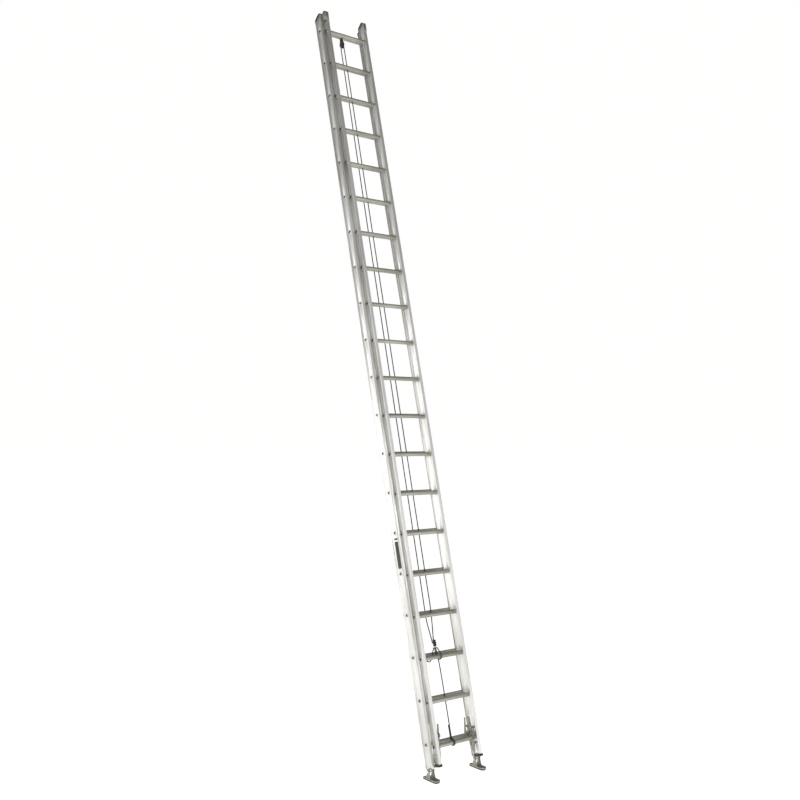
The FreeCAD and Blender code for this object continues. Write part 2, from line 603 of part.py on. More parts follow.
def foot_bracket(label, side):
    """A steel hanger: a tongue on the rail's web, a bridge under its foot and two lugs."""
    body = new_body(label)
    half_in = "(Sizes.lug_inner / 2)"
    half_out = "(Sizes.lug_inner / 2 + Sizes.lug_thick)"
    half_wide = "(Sizes.lug_width / 2)"
    top = BASE_FOOT
    under = f"({top} - Sizes.lug_thick)"
    bridge = [(f"-{half_out}", under), (half_out, under), (half_out, top), (f"-{half_out}", top)]
    pad(body, polygon(new_sketch(body, "XZ_Plane"), bridge), S("lug_width"), True)
    for way in (-1, 1):
        lug = [(f"-{half_wide}", under), (f"-{half_wide}", f"{under} - Sizes.lug_thick"),
               ("-Sizes.lug_round", "0"), ("-Sizes.lug_round", "-Sizes.lug_round"),
               ("Sizes.lug_round", "-Sizes.lug_round"), ("Sizes.lug_round", "0"),
               (half_wide, f"{under} - Sizes.lug_thick"), (half_wide, under)]
        face = new_sketch(body, "YZ_Plane", f"{way} * {half_in}")
        pad(body, polygon(face, lug), S("lug_thick"), reverse=way < 0)
        round_at = [lug[3], lug[4]]
    round_corners(body, "x", round_at, "Sizes.lug_round * 0.95")
    tongue_face = f"{-side} * {HALF_WEB}"
    half_tongue = "(Sizes.tongue_width / 2)"
    tongue = [(f"-{half_tongue}", under), (half_tongue, under),
              (half_tongue, f"{top} + Sizes.tongue_tall"), (f"-{half_tongue}", f"{top} + Sizes.tongue_tall")]
    plate = new_sketch(body, "YZ_Plane", tongue_face)
    pad(body, polygon(plate, tongue), S("lug_thick"), reverse=side > 0)
    round_corners(body, "x", [tongue[2], tongue[3]], "Sizes.tongue_width * 0.3")
    pocket(body, circle(new_sketch(body, "YZ_Plane"), "0", "0", "Sizes.bolt_size + 2 * Sizes.bolt_gap"))
    rivets = new_sketch(body, "YZ_Plane")
    for up in TONGUE_RIVETS:
        circle(rivets, "0", up, RIVET_HOLE)
    pocket(body, rivets)
    place(body, f"{side} * {BASE_WEB}")


def shoe_plate(label, side):
    """A pressed shoe: a rimmed, ribbed tread plate and two triangular ears at its sides."""
    body = new_body(label)
    low = "(Sizes.plate_low - Sizes.pivot_height)"
    top = f"({low} + Sizes.plate_thick)"
    rim = f"({low} + Sizes.rim_tall)"
    half = "(Sizes.plate_width / 2)"
    toe = "(-Sizes.plate_toe)"
    cut = S("toe_corner")
    outline = [(f"-{half}", S("plate_heel")), (f"-{half}", f"{toe} + {cut}"),
               (f"-{half} + {cut}", toe), (f"{half} - {cut}", toe),
               (half, f"{toe} + {cut}"), (half, S("plate_heel"))]
    inner = f"({half} - Sizes.rim_wall)"
    inset = "(Sizes.rim_wall * 0.6)"
    room = [(f"-{inner}", "Sizes.plate_heel - Sizes.rim_wall"), (f"-{inner}", f"{toe} + {cut} + {inset}"),
            (f"-{inner} + {cut} - {inset} / 2", f"{toe} + Sizes.rim_wall"),
            (f"{inner} - {cut} + {inset} / 2", f"{toe} + Sizes.rim_wall"),
            (inner, f"{toe} + {cut} + {inset}"), (inner, "Sizes.plate_heel - Sizes.rim_wall")]
    pad(body, polygon(new_sketch(body, "XY_Plane", low), outline), S("plate_thick"))
    edge = polygon(new_sketch(body, "XY_Plane", top), outline)
    polygon(edge, room)
    pad(body, edge, "Sizes.rim_tall - Sizes.plate_thick")
    for across in (-0.5, 0, 0.5):
        middle = f"({across} * {inner})"
        start = f"({toe} + Sizes.rim_wall)"
        end = "(-Sizes.ear_base * 0.55)"
        rib = [(f"{middle} - Sizes.rib_wide / 2", start), (f"{middle} + Sizes.rib_wide / 2", start),
               (f"{middle} + Sizes.rib_wide / 2", end), (f"{middle} - Sizes.rib_wide / 2", end)]
        pad(body, polygon(new_sketch(body, "XY_Plane", top), rib), S("rib_tall"))
    for way in (-1, 1):
        base = "(Sizes.ear_base / 2)"
        ear = [(f"-{base}", top), (f"-{base}", f"{rim} + 2"), ("-Sizes.ear_round", "0"),
               ("-Sizes.ear_round", S("ear_round")), (S("ear_round"), S("ear_round")),
               (S("ear_round"), "0"), (base, f"{rim} + 2"), (base, top)]
        face = new_sketch(body, "YZ_Plane", f"{way} * {EAR_INNER}")
        pad(body, polygon(face, ear), S("ear_thick"), reverse=way < 0)
    round_corners(body, "x", [ear[3], ear[4]], "Sizes.ear_round * 0.95")
    pocket(body, circle(new_sketch(body, "YZ_Plane"), "0", "0", "Sizes.bolt_size + 2 * Sizes.bolt_gap"))
    place(body, f"{side} * {BASE_WEB}", leaning=False)


def shoe_pad(label, side):
    """The rubber sole under the plate, with grooves across it."""
    body = new_body(label)
    half = "(Sizes.plate_width / 2 - Sizes.pad_margin)"
    heel = "(Sizes.plate_heel - Sizes.pad_margin)"
    toe = "(-Sizes.plate_toe + Sizes.pad_margin)"
    cut = "(Sizes.toe_corner - Sizes.pad_margin * 0.5)"
    outline = [(f"-{half}", heel), (f"-{half}", f"{toe} + {cut}"), (f"-{half} + {cut}", toe),
               (f"{half} - {cut}", toe), (half, f"{toe} + {cut}"), (half, heel)]
    floor = "-Sizes.pivot_height"
    pad(body, polygon(new_sketch(body, "XY_Plane", floor), outline), S("plate_low"))
    first = f"({heel} - 12)"
    groove = polygon(new_sketch(body, "YZ_Plane"), [
        (first, f"{floor} - 1"), (first, f"{floor} + Sizes.plate_low * 0.3"),
        (f"{first} - 4", f"{floor} + Sizes.plate_low * 0.3"), (f"{first} - 4", f"{floor} - 1")])
    cut_row = pocket(body, groove)
    pattern = row_of(body, [cut_row], "Y_Axis", "12", "10")
    pattern.Reversed = True
    doc.recompute()
    place(body, f"{side} * {BASE_WEB}", leaning=False)


def shoe_bolt(label, side):
    """The pivot bolt through lugs and ears, with its head outside and a nut inside."""
    body = new_body(label)
    outer = f"{side} * {EAR_OUTER}"
    inner = f"{-side} * {EAR_OUTER}"
    shank = circle(new_sketch(body, "YZ_Plane", outer), "0", "0", S("bolt_size"))
    pad(body, shank, f"2 * {EAR_OUTER} + Sizes.bolt_head_tall + Sizes.bolt_tip", reverse=side > 0)
    across = "(Sizes.bolt_head / 2)"
    flat = f"({across} / cos(30))"
    hexagon = [(flat, "0"), (f"{flat} / 2", across), (f"-{flat} / 2", across),
               (f"-{flat}", "0"), (f"-{flat} / 2", f"-{across}"), (f"{flat} / 2", f"-{across}")]
    head = polygon(new_sketch(body, "YZ_Plane", outer), hexagon)
    pad(body, head, S("bolt_head_tall"), reverse=side < 0)
    nut = polygon(new_sketch(body, "YZ_Plane", inner), hexagon)
    pad(body, nut, S("bolt_head_tall"), reverse=side > 0)
    place(body, f"{side} * {BASE_WEB}", leaning=False)


# ---------------------------------------------------------------- pulley


def pulley_hanger():
    """A strap ring on the top rung of the base, with an eye for the block below it."""
    body = new_body("pulley_hanger")
    inner = "(Sizes.rung_radius + Sizes.strap_gap)"
    outer = f"({inner} + Sizes.strap_thick)"
    ring = circle(new_sketch(body, "YZ_Plane"), "0", "0", f"2 * {outer}")
    pad(body, ring, S("strap_wide"), True)
    half = "(Sizes.pulley_pin_size * 0.9)"
    low = "(-Sizes.pulley_pin_drop - Sizes.pulley_pin_size)"
    eye = [(f"-{half}", f"-{inner}"), (half, f"-{inner}"), (half, low), (f"-{half}", low)]
    pad(body, polygon(new_sketch(body, "YZ_Plane"), eye), S("strap_wide"), True)
    round_corners(body, "x", [eye[2], eye[3]], f"{half} * 0.8")
    pocket(body, circle(new_sketch(body, "YZ_Plane"), "0", "0", f"2 * {inner}"))
    pin = circle(new_sketch(body, "YZ_Plane"), "0", "-Sizes.pulley_pin_drop",
                 "Sizes.pulley_pin_size + Sizes.pin_gap")
    pocket(body, pin)
    place(body, S("pulley_side"), BASE_RUNG_Y, TOP_RUNG_Z)


def pulley_block():
    """Two teardrop cheeks, joined by a bar under the sheave."""
    body = new_body("pulley_block")
    inner = "(Sizes.sheave_wide / 2 + Sizes.cheek_gap)"
    belly = "(-Sizes.sheave_drop)"
    head = "(-Sizes.pulley_pin_drop)"
    low = "(-Sizes.sheave_drop - Sizes.sheave_rim - 2 * Sizes.cheek_gap)"
    tail = f"({low} - Sizes.cheek_bar)"
    bar = "(Sizes.cheek_head * 0.7)"
    bar_plate = [(f"-{bar}", tail), (bar, tail), (bar, low), (f"-{bar}", low)]
    pad(body, polygon(new_sketch(body, "YZ_Plane"), bar_plate), f"2 * {inner} + 0.2", True)
    for way in (-1, 1):
        level = f"{way} * {inner}"
        drop = [("-Sizes.cheek_head", head), (f"-Sizes.cheek_belly", belly), (f"-{bar}", tail),
                (bar, tail), (S("cheek_belly"), belly), (S("cheek_head"), head)]
        pad(body, polygon(new_sketch(body, "YZ_Plane", level), drop), S("cheek_thick"), reverse=way < 0)
        crown = circle(new_sketch(body, "YZ_Plane", level), "0", head, "2 * Sizes.cheek_head")
        pad(body, crown, S("cheek_thick"), reverse=way < 0)
        girth = circle(new_sketch(body, "YZ_Plane", level), "0", belly, "2 * Sizes.cheek_belly")
        pad(body, girth, S("cheek_thick"), reverse=way < 0)
    pin = circle(new_sketch(body, "YZ_Plane"), "0", head, "Sizes.pulley_pin_size + Sizes.pin_gap")
    pocket(body, pin)
    pocket(body, circle(new_sketch(body, "YZ_Plane"), "0", belly, "Sizes.sheave_bore + Sizes.pin_gap"))
    place(body, S("pulley_side"), BASE_RUNG_Y, TOP_RUNG_Z)


def pulley_sheave():
    """A plastic wheel with a round-bottomed groove for the rope."""
    body = new_body("pulley_sheave")
    disc = circle(new_sketch(body, "YZ_Plane"), "0", "0", "2 * Sizes.sheave_rim")
    pad(body, disc, S("sheave_wide"), True)
    pocket(body, circle(new_sketch(body, "YZ_Plane"), "0", "0", "Sizes.sheave_bore + 0.2"))
    sketch = new_sketch(body, "XY_Plane")
    radius = "(Sizes.rope_size / 2 + Sizes.groove_gap)"
    line = S("sheave_rope_radius")
    over = "(Sizes.sheave_rim + 2)"
    centre = Vector(0, number(line), 0)
    bowl = Part.Circle(centre, Vector(0, 0, 1), number(radius))
    sketch.addGeometry(Part.ArcOfCircle(bowl, math.pi, 2 * math.pi))
    sides = [(radius, line), (radius, over), (f"-{radius}", over), (f"-{radius}", line)]
    places = [Vector(number(across), number(up), 0) for across, up in sides]
    for start, end in zip(places, places[1:]):
        sketch.addGeometry(Part.LineSegment(start, end))
    sketch.addConstraint(Sketcher.Constraint("Coincident", 0, 2, 1, 1))
    sketch.addConstraint(Sketcher.Constraint("Coincident", 1, 2, 2, 1))
    sketch.addConstraint(Sketcher.Constraint("Coincident", 2, 2, 3, 1))
    sketch.addConstraint(Sketcher.Constraint("Coincident", 3, 2, 0, 1))
    pin_point(sketch, 0, 3, "0", line)
    pin_point(sketch, 0, 2, radius, line)
    pin_point(sketch, 1, 2, radius, over)
    pin_point(sketch, 2, 2, f"-{radius}", over)
    sketch.addConstraint(Sketcher.Constraint("Horizontal", 0, 1, 0, 2))
    before = body.Shape.Volume
    groove = body.newObject("PartDesign::Groove", "pulley_sheave_groove")
    groove.Profile = sketch
    groove.ReferenceAxis = (origin_feature(body, "X_Axis"), [""])
    groove.Angle = 360
    settle(groove)
    if body.Shape.Volume >= before:
        raise RuntimeError("pulley_sheave: the rope groove cuts nothing")
    place(body, S("pulley_side"), BASE_RUNG_Y, f"{TOP_RUNG_Z} - Sizes.sheave_drop")


def pulley_pins():
    """The block's head pin and the sheave's axle, as two separate solids."""
    body = new_body("pulley_pins")
    outer = "(Sizes.sheave_wide / 2 + Sizes.cheek_gap + Sizes.cheek_thick)"
    for drop, size in (("pulley_pin_drop", "pulley_pin_size"), ("sheave_drop", "sheave_bore")):
        up = f"-Sizes.{drop}"
        pad(body, circle(new_sketch(body, "YZ_Plane"), "0", up, S(size)), f"2 * {outer}", True)
        for way in (-1, 1):
            face = new_sketch(body, "YZ_Plane", f"{way} * {outer}")
            pad(body, circle(face, "0", up, f"Sizes.{size} + 4"), "2", reverse=way < 0)
    place(body, S("pulley_side"), BASE_RUNG_Y, TOP_RUNG_Z)


# ---------------------------------------------------------------- rung locks

# outwards from the middle: finger, hook, spring room, lock plate, then the rail's web
LOCK_PLATE_IN = f"({FLY_WEB} - Sizes.lock_plate_in)"
LOCK_PLATE_OUT = f"({LOCK_PLATE_IN} + Sizes.lock_plate)"
HOOK_OUT = f"({LOCK_PLATE_IN} - Sizes.lock_spring_room)"
HOOK_IN = f"({HOOK_OUT} - Sizes.lock_hook_thick)"
FINGER_OUT = f"({HOOK_IN} - Sizes.lock_part_gap)"
FINGER_IN = f"({FINGER_OUT} - Sizes.lock_finger_thick)"
PIN = (S("lock_pin_back"), S("lock_pin_up"))
# nothing fixed on the fly may stand further back than the faces of the base rungs
LOCK_BACK = f"({RUNG_SPACING} - Sizes.rung_radius - Sizes.lock_back_gap)"


def lock_bracket(label, side):
    """A cast A-shaped plate round the fly's lowest rung, held off the web by two bosses."""
    body = new_body(label)
    outline = [("-12", "Sizes.lock_top - 8"), ("-12", S("lock_top")), ("2", S("lock_top")),
               (LOCK_BACK, "Sizes.lock_pin_up + 14"), (LOCK_BACK, "Sizes.lock_pin_up - 14"),
               ("20", "-20"), ("16", "-Sizes.lock_tail + 30"), ("2", "-Sizes.lock_tail"),
               ("-12", "-Sizes.lock_tail"), ("-22", "-Sizes.lock_tail + 34"), ("-26", "0")]
    level = f"{side} * {LOCK_PLATE_IN}"
    back_way = side < 0
    plate = polygon(new_sketch(body, "YZ_Plane", level), outline)
    pad(body, plate, S("lock_plate"), reverse=back_way)
    soft = [outline[index] for index in (1, 2, 3, 7, 8)]
    round_corners(body, "x", soft, "6")
    window = [("-4", "Sizes.lock_top - 34"), ("17", "Sizes.lock_pin_up + 22"), ("4", "44"),
              ("4", "90")]
    bosses = new_sketch(body, "YZ_Plane", f"{side} * {LOCK_PLATE_OUT}")
    for back, up in LOCK_BOSSES:
        circle(bosses, back, up, S("boss_size"))
    depth = f"{FLY_WEB} - {HALF_WEB} - {LOCK_PLATE_OUT}"
    pad(body, bosses, depth, reverse=back_way)
    pocket(body, polygon(new_sketch(body, "YZ_Plane"), window))
    pocket(body, circle(new_sketch(body, "YZ_Plane"), "0", "0", "2 * (Sizes.rung_radius + Sizes.lock_hole_gap)"))
    pocket(body, circle(new_sketch(body, "YZ_Plane"), *PIN, "Sizes.lock_pin_size + Sizes.pin_gap"))
    for back, up in LOCK_BOSSES:
        pocket(body, circle(new_sketch(body, "YZ_Plane"), back, up, "Sizes.rivet_size + 0.1"))
    place(body, "0", FLY_RUNG_Y, FLY_RUNG_Z)


def lock_hook(label, side):
    """A pawl on the lock pin, turned up clear of the base rungs.

    Its body's frame has the pawl as it lies when it is down: over the base rung, and behind it.
    """
    body = new_body(label)
    centre = (f"({RUNG_SPACING} - {PIN[0]})", f"({FLY_DROP} - {PIN[1]})")
    seat = "(Sizes.rung_radius + Sizes.lock_seat_gap)"
    outer = f"({seat} + Sizes.lock_hook_wall)"
    level = f"{side} * {HOOK_IN}"
    back_way = side < 0
    boss = circle(new_sketch(body, "YZ_Plane", level), "0", "0", "2 * Sizes.lock_boss")
    pad(body, boss, S("lock_hook_thick"), reverse=back_way)
    arm = [(f"{centre[0]} - 19", f"{centre[1]} + 13"), (f"{centre[0]} - 12", f"{centre[1]} + 9"),
           (f"{centre[0]} + {seat} * 0.7", f"{centre[1]} - 4"), (f"{centre[0]} + {seat}", f"{centre[1]} - 12"),
           (f"{centre[0]} + {outer}", f"{centre[1]} - 12"), (f"{centre[0]} + {outer}", f"{centre[1]} + 14"),
           (f"{centre[0]} + {outer} * 0.6", f"{centre[1]} + {outer}"),
           ("2", "Sizes.lock_boss * 0.9")]
    pad(body, polygon(new_sketch(body, "YZ_Plane", level), arm), S("lock_hook_thick"), reverse=back_way)
    pocket(body, circle(new_sketch(body, "YZ_Plane"), *centre, f"2 * {seat}"))
    pocket(body, circle(new_sketch(body, "YZ_Plane"), "0", "0", "Sizes.lock_pin_size + 2 * Sizes.pin_gap"))
    round_corners(body, "x", [arm[4], arm[5]], "3")
    place(body, "0", f"{FLY_RUNG_Y} + {PIN[0]}", f"{FLY_RUNG_Z} + {PIN[1]}")
    body.setExpression(".Placement.Rotation.Angle", "Sizes.lock_hook_turn - Sizes.lean")


def lock_finger(label, side):
    """A long flat finger on the same pin, standing up past the top of the lock plate."""
    body = new_body(label)
    level = f"{side} * {FINGER_IN}"
    back_way = side < 0
    boss = circle(new_sketch(body, "YZ_Plane", level), *PIN, "2 * Sizes.lock_boss")
    pad(body, boss, S("lock_finger_thick"), reverse=back_way)
    blade = [(f"{PIN[0]} + Sizes.lock_boss * 0.9", PIN[1]), ("8", "Sizes.lock_top - 2"),
             ("-4", "Sizes.lock_top - 2"), (f"{PIN[0]} - Sizes.lock_boss * 0.9", PIN[1])]
    pad(body, polygon(new_sketch(body, "YZ_Plane", level), blade), S("lock_finger_thick"), reverse=back_way)
    round_corners(body, "x", [blade[1], blade[2]], "4")
    pocket(body, circle(new_sketch(body, "YZ_Plane"), *PIN, "Sizes.lock_pin_size + 2 * Sizes.pin_gap"))
    place(body, "0", FLY_RUNG_Y, FLY_RUNG_Z)


def lock_pins(label, side):
    """The pin that carries finger, hook and spring, headed at both ends."""
    body = new_body(label)
    back_way = side < 0
    head_gap = S("lock_head_gap")
    start = new_sketch(body, "YZ_Plane", f"{side} * ({FINGER_IN} - {head_gap})")
    length = f"{LOCK_PLATE_OUT} - {FINGER_IN} + 2 * {head_gap}"
    pad(body, circle(start, *PIN, S("lock_pin_size")), length, reverse=back_way)
    for level, reverse in ((f"{FINGER_IN} - {head_gap}", side > 0),
                           (f"{LOCK_PLATE_OUT} + {head_gap}", side < 0)):
        face = new_sketch(body, "YZ_Plane", f"{side} * ({level})")
        pad(body, circle(face, *PIN, "Sizes.lock_pin_size + Sizes.lock_head_flange"),
            S("lock_head_tall"), reverse=reverse)
    place(body, "0", FLY_RUNG_Y, FLY_RUNG_Z)


def tube(points, radius, factor=0.48):
    """A round tube along straight runs joined by tangent arcs; returns shape, length, radii."""
    runs = [end - start for start, end in zip(points, points[1:])]
    edges = []
    radii = []
    here = points[0]
    for index in range(1, len(points) - 1):
        inward = Vector(runs[index - 1]).normalize()
        outward = Vector(runs[index]).normalize()
        turn = inward.getAngle(outward)
        shorter = min(runs[index - 1].Length, runs[index].Length)
        bend = factor * shorter / math.tan(turn / 2)
        back = bend * math.tan(turn / 2)
        start = points[index] - inward * back
        end = points[index] + outward * back
        inner = Vector(outward - inward).normalize()
        middle = points[index] + inner * (bend / math.cos(turn / 2) - bend)
        edges.append(Part.LineSegment(here, start).toShape())
        edges.append(Part.Arc(start, middle, end).toShape())
        radii.append(bend)
        here = end
    edges.append(Part.LineSegment(here, points[-1]).toShape())
    wire = Part.Wire(edges)
    profile = Part.Wire(Part.Circle(points[0], runs[0], radius).toShape())
    shape = wire.makePipeShell([profile], True, False)
    return shape, wire.Length, radii


def add_tube(label, points, radius):
    """A cord or wire as a piece of its own, with its volume compared with its length."""
    shape, length, radii = tube(points, radius)
    ideal = math.pi * radius ** 2 * length
    if abs(shape.Volume / ideal - 1) > 0.02:
        raise RuntimeError(f"{label}: volume {shape.Volume:.0f} is not section times length {ideal:.0f}")
    print(f"{label}: length {length:.1f}, bend radii {', '.join(f'{bend:.1f}' for bend in radii)}")
    piece = doc.addObject("Part::Feature", label)
    piece.Label = label
    piece.Shape = shape
    piece.Placement = leaning_placement()


def lock_spring(label, side):
    """A torsion spring round the lock pin, with a leg that hooks under the fly's rung."""
    wire = number(S("lock_spring_wire")) / 2
    room = number(S("lock_spring_room"))
    coil = number(S("lock_pin_size")) / 2 + wire + 0.7
    pin_y = number(f"{FLY_RUNG_Y} + {PIN[0]}")
    pin_z = number(f"{FLY_RUNG_Z} + {PIN[1]}")
    rung_z = number(FLY_RUNG_Z)
    start_x = number(HOOK_OUT) + wire + 0.6
    turns = math.floor((room - 6 * wire) / (2 * wire + 0.3))
    pitch = 2 * wire + 0.3
    helix = Part.makeHelix(pitch, pitch * turns, coil)
    helix.rotate(Vector(0, 0, 0), Vector(0, 1, 0), 90)
    helix.translate(Vector(start_x, pin_y, pin_z))
    path = Part.Wire(helix.Edges)
    first = path.Edges[0]
    origin = first.valueAt(first.FirstParameter)
    along = first.tangentAt(first.FirstParameter)
    profile = Part.Wire(Part.Circle(origin, along, wire).toShape())
    shape = path.makePipeShell([profile], True, True)
    leg_x = start_x + pitch * turns + 2 * wire + 0.2
    leg_y = number(f"{FLY_RUNG_Y} + Sizes.rung_radius") + wire + 2
    below = rung_z - number(S("rung_radius"))
    leg = [Vector(leg_x, pin_y + coil, pin_z + 2), Vector(leg_x, pin_y + coil - 1, pin_z - 14),
           Vector(leg_x, leg_y + 2, rung_z - 2), Vector(leg_x, leg_y, below - 34),
           Vector(leg_x, leg_y - 22, below - 32), Vector(leg_x, leg_y - 20, below - 12)]
    leg_shape = tube(leg, wire)[0]
    if side < 0:
        shape = shape.mirror(Vector(0, 0, 0), Vector(1, 0, 0))
        leg_shape = leg_shape.mirror(Vector(0, 0, 0), Vector(1, 0, 0))
    spring = doc.addObject("Part::Feature", label)
    spring.Label = label
    spring.Shape = Part.makeCompound([shape, leg_shape])
    spring.Placement = leaning_placement()


# ---------------------------------------------------------------- rope

# everything tied on the fly stays in front of the strands on the base, which it slides past
KNOT_RUNG = 2
KNOT_X = -36
KNOT_Y = -32.5
KNOT_LOW = 50
KNOT_TALL = 56
KNOT_SIZE = 22
KNOT_GAP = 1.6
END_LOW_X = -30
END_WIDE = 22


def halyard():
    """The rope on the base: over the pulley, and down in front of and behind the base rungs."""
    radius = number(S("rope_size")) / 2
    pulley_x = number(S("pulley_side"))
    wheel = number(S("sheave_rope_radius"))
    front = number(STRAND_FRONT_Y)
    back = number(STRAND_BACK_Y)
    rung_y = number(BASE_RUNG_Y)
    axle = number(f"{TOP_RUNG_Z} - Sizes.sheave_drop")
    crossing = number(f"{BASE_RUNG_Z} + {KNOT_RUNG + 1} * Sizes.rung_pitch")
    beside = number(BASE_RUNG_Z) + KNOT_RUNG * number(S("rung_pitch")) + KNOT_LOW + KNOT_TALL - 25
    seam = axle - 60
    # half a turn of the wheel, as four corners of the eight-sided figure round it
    corner = wheel * math.tan(math.radians(22.5))
    haul = [Vector(pulley_x, back, seam), Vector(pulley_x, back, axle + corner),
            Vector(pulley_x, rung_y + corner, axle + wheel),
            Vector(pulley_x, rung_y - corner, axle + wheel),
            Vector(pulley_x, front, axle + corner), Vector(pulley_x, front, crossing - 30),
            Vector(-30, front, beside)]
    add_tube("rope_haul", haul, radius)
    fall = [Vector(pulley_x, back, seam - KNOT_GAP), Vector(-32, back, crossing - 70),
            Vector(-42, front, beside + 30), Vector(-42, front, beside)]
    add_tube("rope_return", fall, radius)


def fly_rope():
    """The rope on the fly: a loop and a slack tail at the third rung, and the strand below."""
    radius = number(S("rope_size")) / 2
    pitch = number(S("rung_pitch"))
    start = number(BASE_RUNG_Z) + KNOT_RUNG * pitch + KNOT_LOW - KNOT_GAP
    rung_z = number(FLY_RUNG_Z) + KNOT_RUNG * pitch
    rung_y = number(FLY_RUNG_Y)
    wrap = number(S("rung_radius")) + radius + number(S("rope_ease"))
    behind = rung_y + wrap
    loop = [Vector(-26, -38, start), Vector(-17, rung_y - wrap, rung_z + 24),
            Vector(-17, rung_y - wrap, rung_z - wrap), Vector(-28, behind, rung_z - wrap),
            Vector(-34, behind, rung_z + 24), Vector(-37, behind - 1, start)]
    add_tube("rope_loop", loop, radius)
    tail = [Vector(-48, -30.5, start), Vector(-64, behind - 1, rung_z + 29),
            Vector(-78, behind, rung_z - 9), Vector(-100, behind, rung_z - 31),
            Vector(-126, behind, rung_z - 21), Vector(-138, behind, rung_z)]
    add_tube("rope_tail", tail, radius)
    ring_top = number(FLY_RUNG_Z) + (wrap + radius) * 0.9
    lower = [Vector(-26, behind, start), Vector(-13, behind, rung_z - 32),
             Vector(-10, behind, rung_z - pitch), Vector(-8, behind, ring_top)]
    add_tube("rope_lower", lower, radius)


def knots():
    """The tie knot and the knot on the fly's lowest rung, as plain closed solids."""
    low = number(BASE_RUNG_Z) + KNOT_RUNG * number(S("rung_pitch")) + KNOT_LOW
    half = KNOT_SIZE / 2
    waist = Part.makeCylinder(half * 0.72, KNOT_TALL - KNOT_SIZE, Vector(KNOT_X, KNOT_Y, low + half))
    upper = Part.makeSphere(half, Vector(KNOT_X, KNOT_Y, low + KNOT_TALL - half))
    under = Part.makeSphere(half, Vector(KNOT_X, KNOT_Y, low + half))
    tie = waist.fuse([upper, under]).removeSplitter()
    knot = doc.addObject("Part::Feature", "rope_tie_knot")
    knot.Label = "rope_tie_knot"
    knot.Shape = tie
    knot.Placement = leaning_placement()
    inner = number(S("rung_radius")) + number(S("rope_ease"))
    outer = inner + number(S("rope_size"))
    centre = Vector(END_LOW_X, number(FLY_RUNG_Y), number(FLY_RUNG_Z))
    ring = Part.makeCylinder(outer, END_WIDE, centre, Vector(1, 0, 0))
    ring = ring.cut(Part.makeCylinder(inner, END_WIDE, centre, Vector(1, 0, 0)))
    end = doc.addObject("Part::Feature", "rope_end_knot")
    end.Label = "rope_end_knot"
    end.Shape = ring
    end.Placement = leaning_placement()


# ---------------------------------------------------------------- label


def rail_label():
    """A plain blank label on the left rail's outer web, between the fifth and sixth rungs."""
    body = new_body("rail_label")
    half = "(Sizes.label_wide / 2)"
    low = f"({BASE_RUNG_Z} + 4.5 * Sizes.rung_pitch - Sizes.label_tall / 2)"
    outline = [(f"-{half}", low), (half, low), (half, f"{low} + Sizes.label_tall"),
               (f"-{half}", f"{low} + Sizes.label_tall")]
    pad(body, polygon(new_sketch(body, "YZ_Plane"), outline), S("label_thick"), reverse=True)
    round_corners(body, "x", outline, "Sizes.label_wide * 0.2")
    place(body, f"-{BASE_WEB} - {HALF_WEB}")


# ---------------------------------------------------------------- the ladder

for name, way in SIDES:
    base_rail(f"base_rail_{name}", way)
    fly_rail(f"fly_rail_{name}", way)
for first_rung in range(1, int(number(S("rung_total"))) + 1, RUNGS_PER_GROUP):
    span = f"{first_rung:02d}_{first_rung + RUNGS_PER_GROUP - 1:02d}"
    rungs(f"base_rungs_{span}", BASE_WEB, BASE_RUNG_Y, BASE_RUNG_Z, first_rung)
    rungs(f"fly_rungs_{span}", FLY_WEB, FLY_RUNG_Y, FLY_RUNG_Z, first_rung)
for name, way in SIDES:
    top_cap(f"base_top_cap_{name}", way, BASE_WEB, "0", BASE_TOP, True)
    top_cap(f"fly_top_cap_{name}", way, FLY_WEB, FLY_Y, FLY_TOP, False)
    bottom_cap(f"fly_bottom_cap_{name}", way)
    top_guide(f"top_guide_{name}", way)
    bottom_guide(f"bottom_guide_{name}", way)
    foot_bracket(f"foot_bracket_{name}", way)
    shoe_plate(f"shoe_plate_{name}", way)
    shoe_pad(f"shoe_pad_{name}", way)
    shoe_bolt(f"shoe_bolt_{name}", way)
    lock_bracket(f"lock_bracket_{name}", way)
    lock_hook(f"lock_hook_{name}", way)
    lock_finger(f"lock_finger_{name}", way)
    lock_pins(f"lock_pins_{name}", way)
    lock_spring(f"lock_spring_{name}", way)
base_rivets()
fly_rivets()
pulley_hanger()
pulley_block()
pulley_sheave()
pulley_pins()
halyard()
fly_rope()
knots()
rail_label()
doc.recompute()

# ---------------------------------------------------------------- checks and export

failed = [item.Label for item in doc.Objects if {"Invalid", "Error"} & set(item.State)]
if failed:
    raise RuntimeError(f"failed objects: {failed}")
pieces = [item for item in doc.Objects if item.TypeId in ("PartDesign::Body", "Part::Feature")]
os.makedirs("parts", exist_ok=True)
for piece in pieces:
    if piece.Shape.isNull() or not piece.Shape.isValid():
        raise RuntimeError(f"{piece.Label} has no valid shape")
for piece in pieces:
    piece.Shape.exportStep(f"parts/{piece.Label}.step")
print(f"{len(pieces)} pieces written")
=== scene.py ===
"""A two-section extension ladder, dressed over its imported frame.

Sections follow the ladder as it is put together: the hoist rope, rails, rungs, caps, guides,
shoes, pulley, rung locks and the label, then the studio.
"""
import json
import math

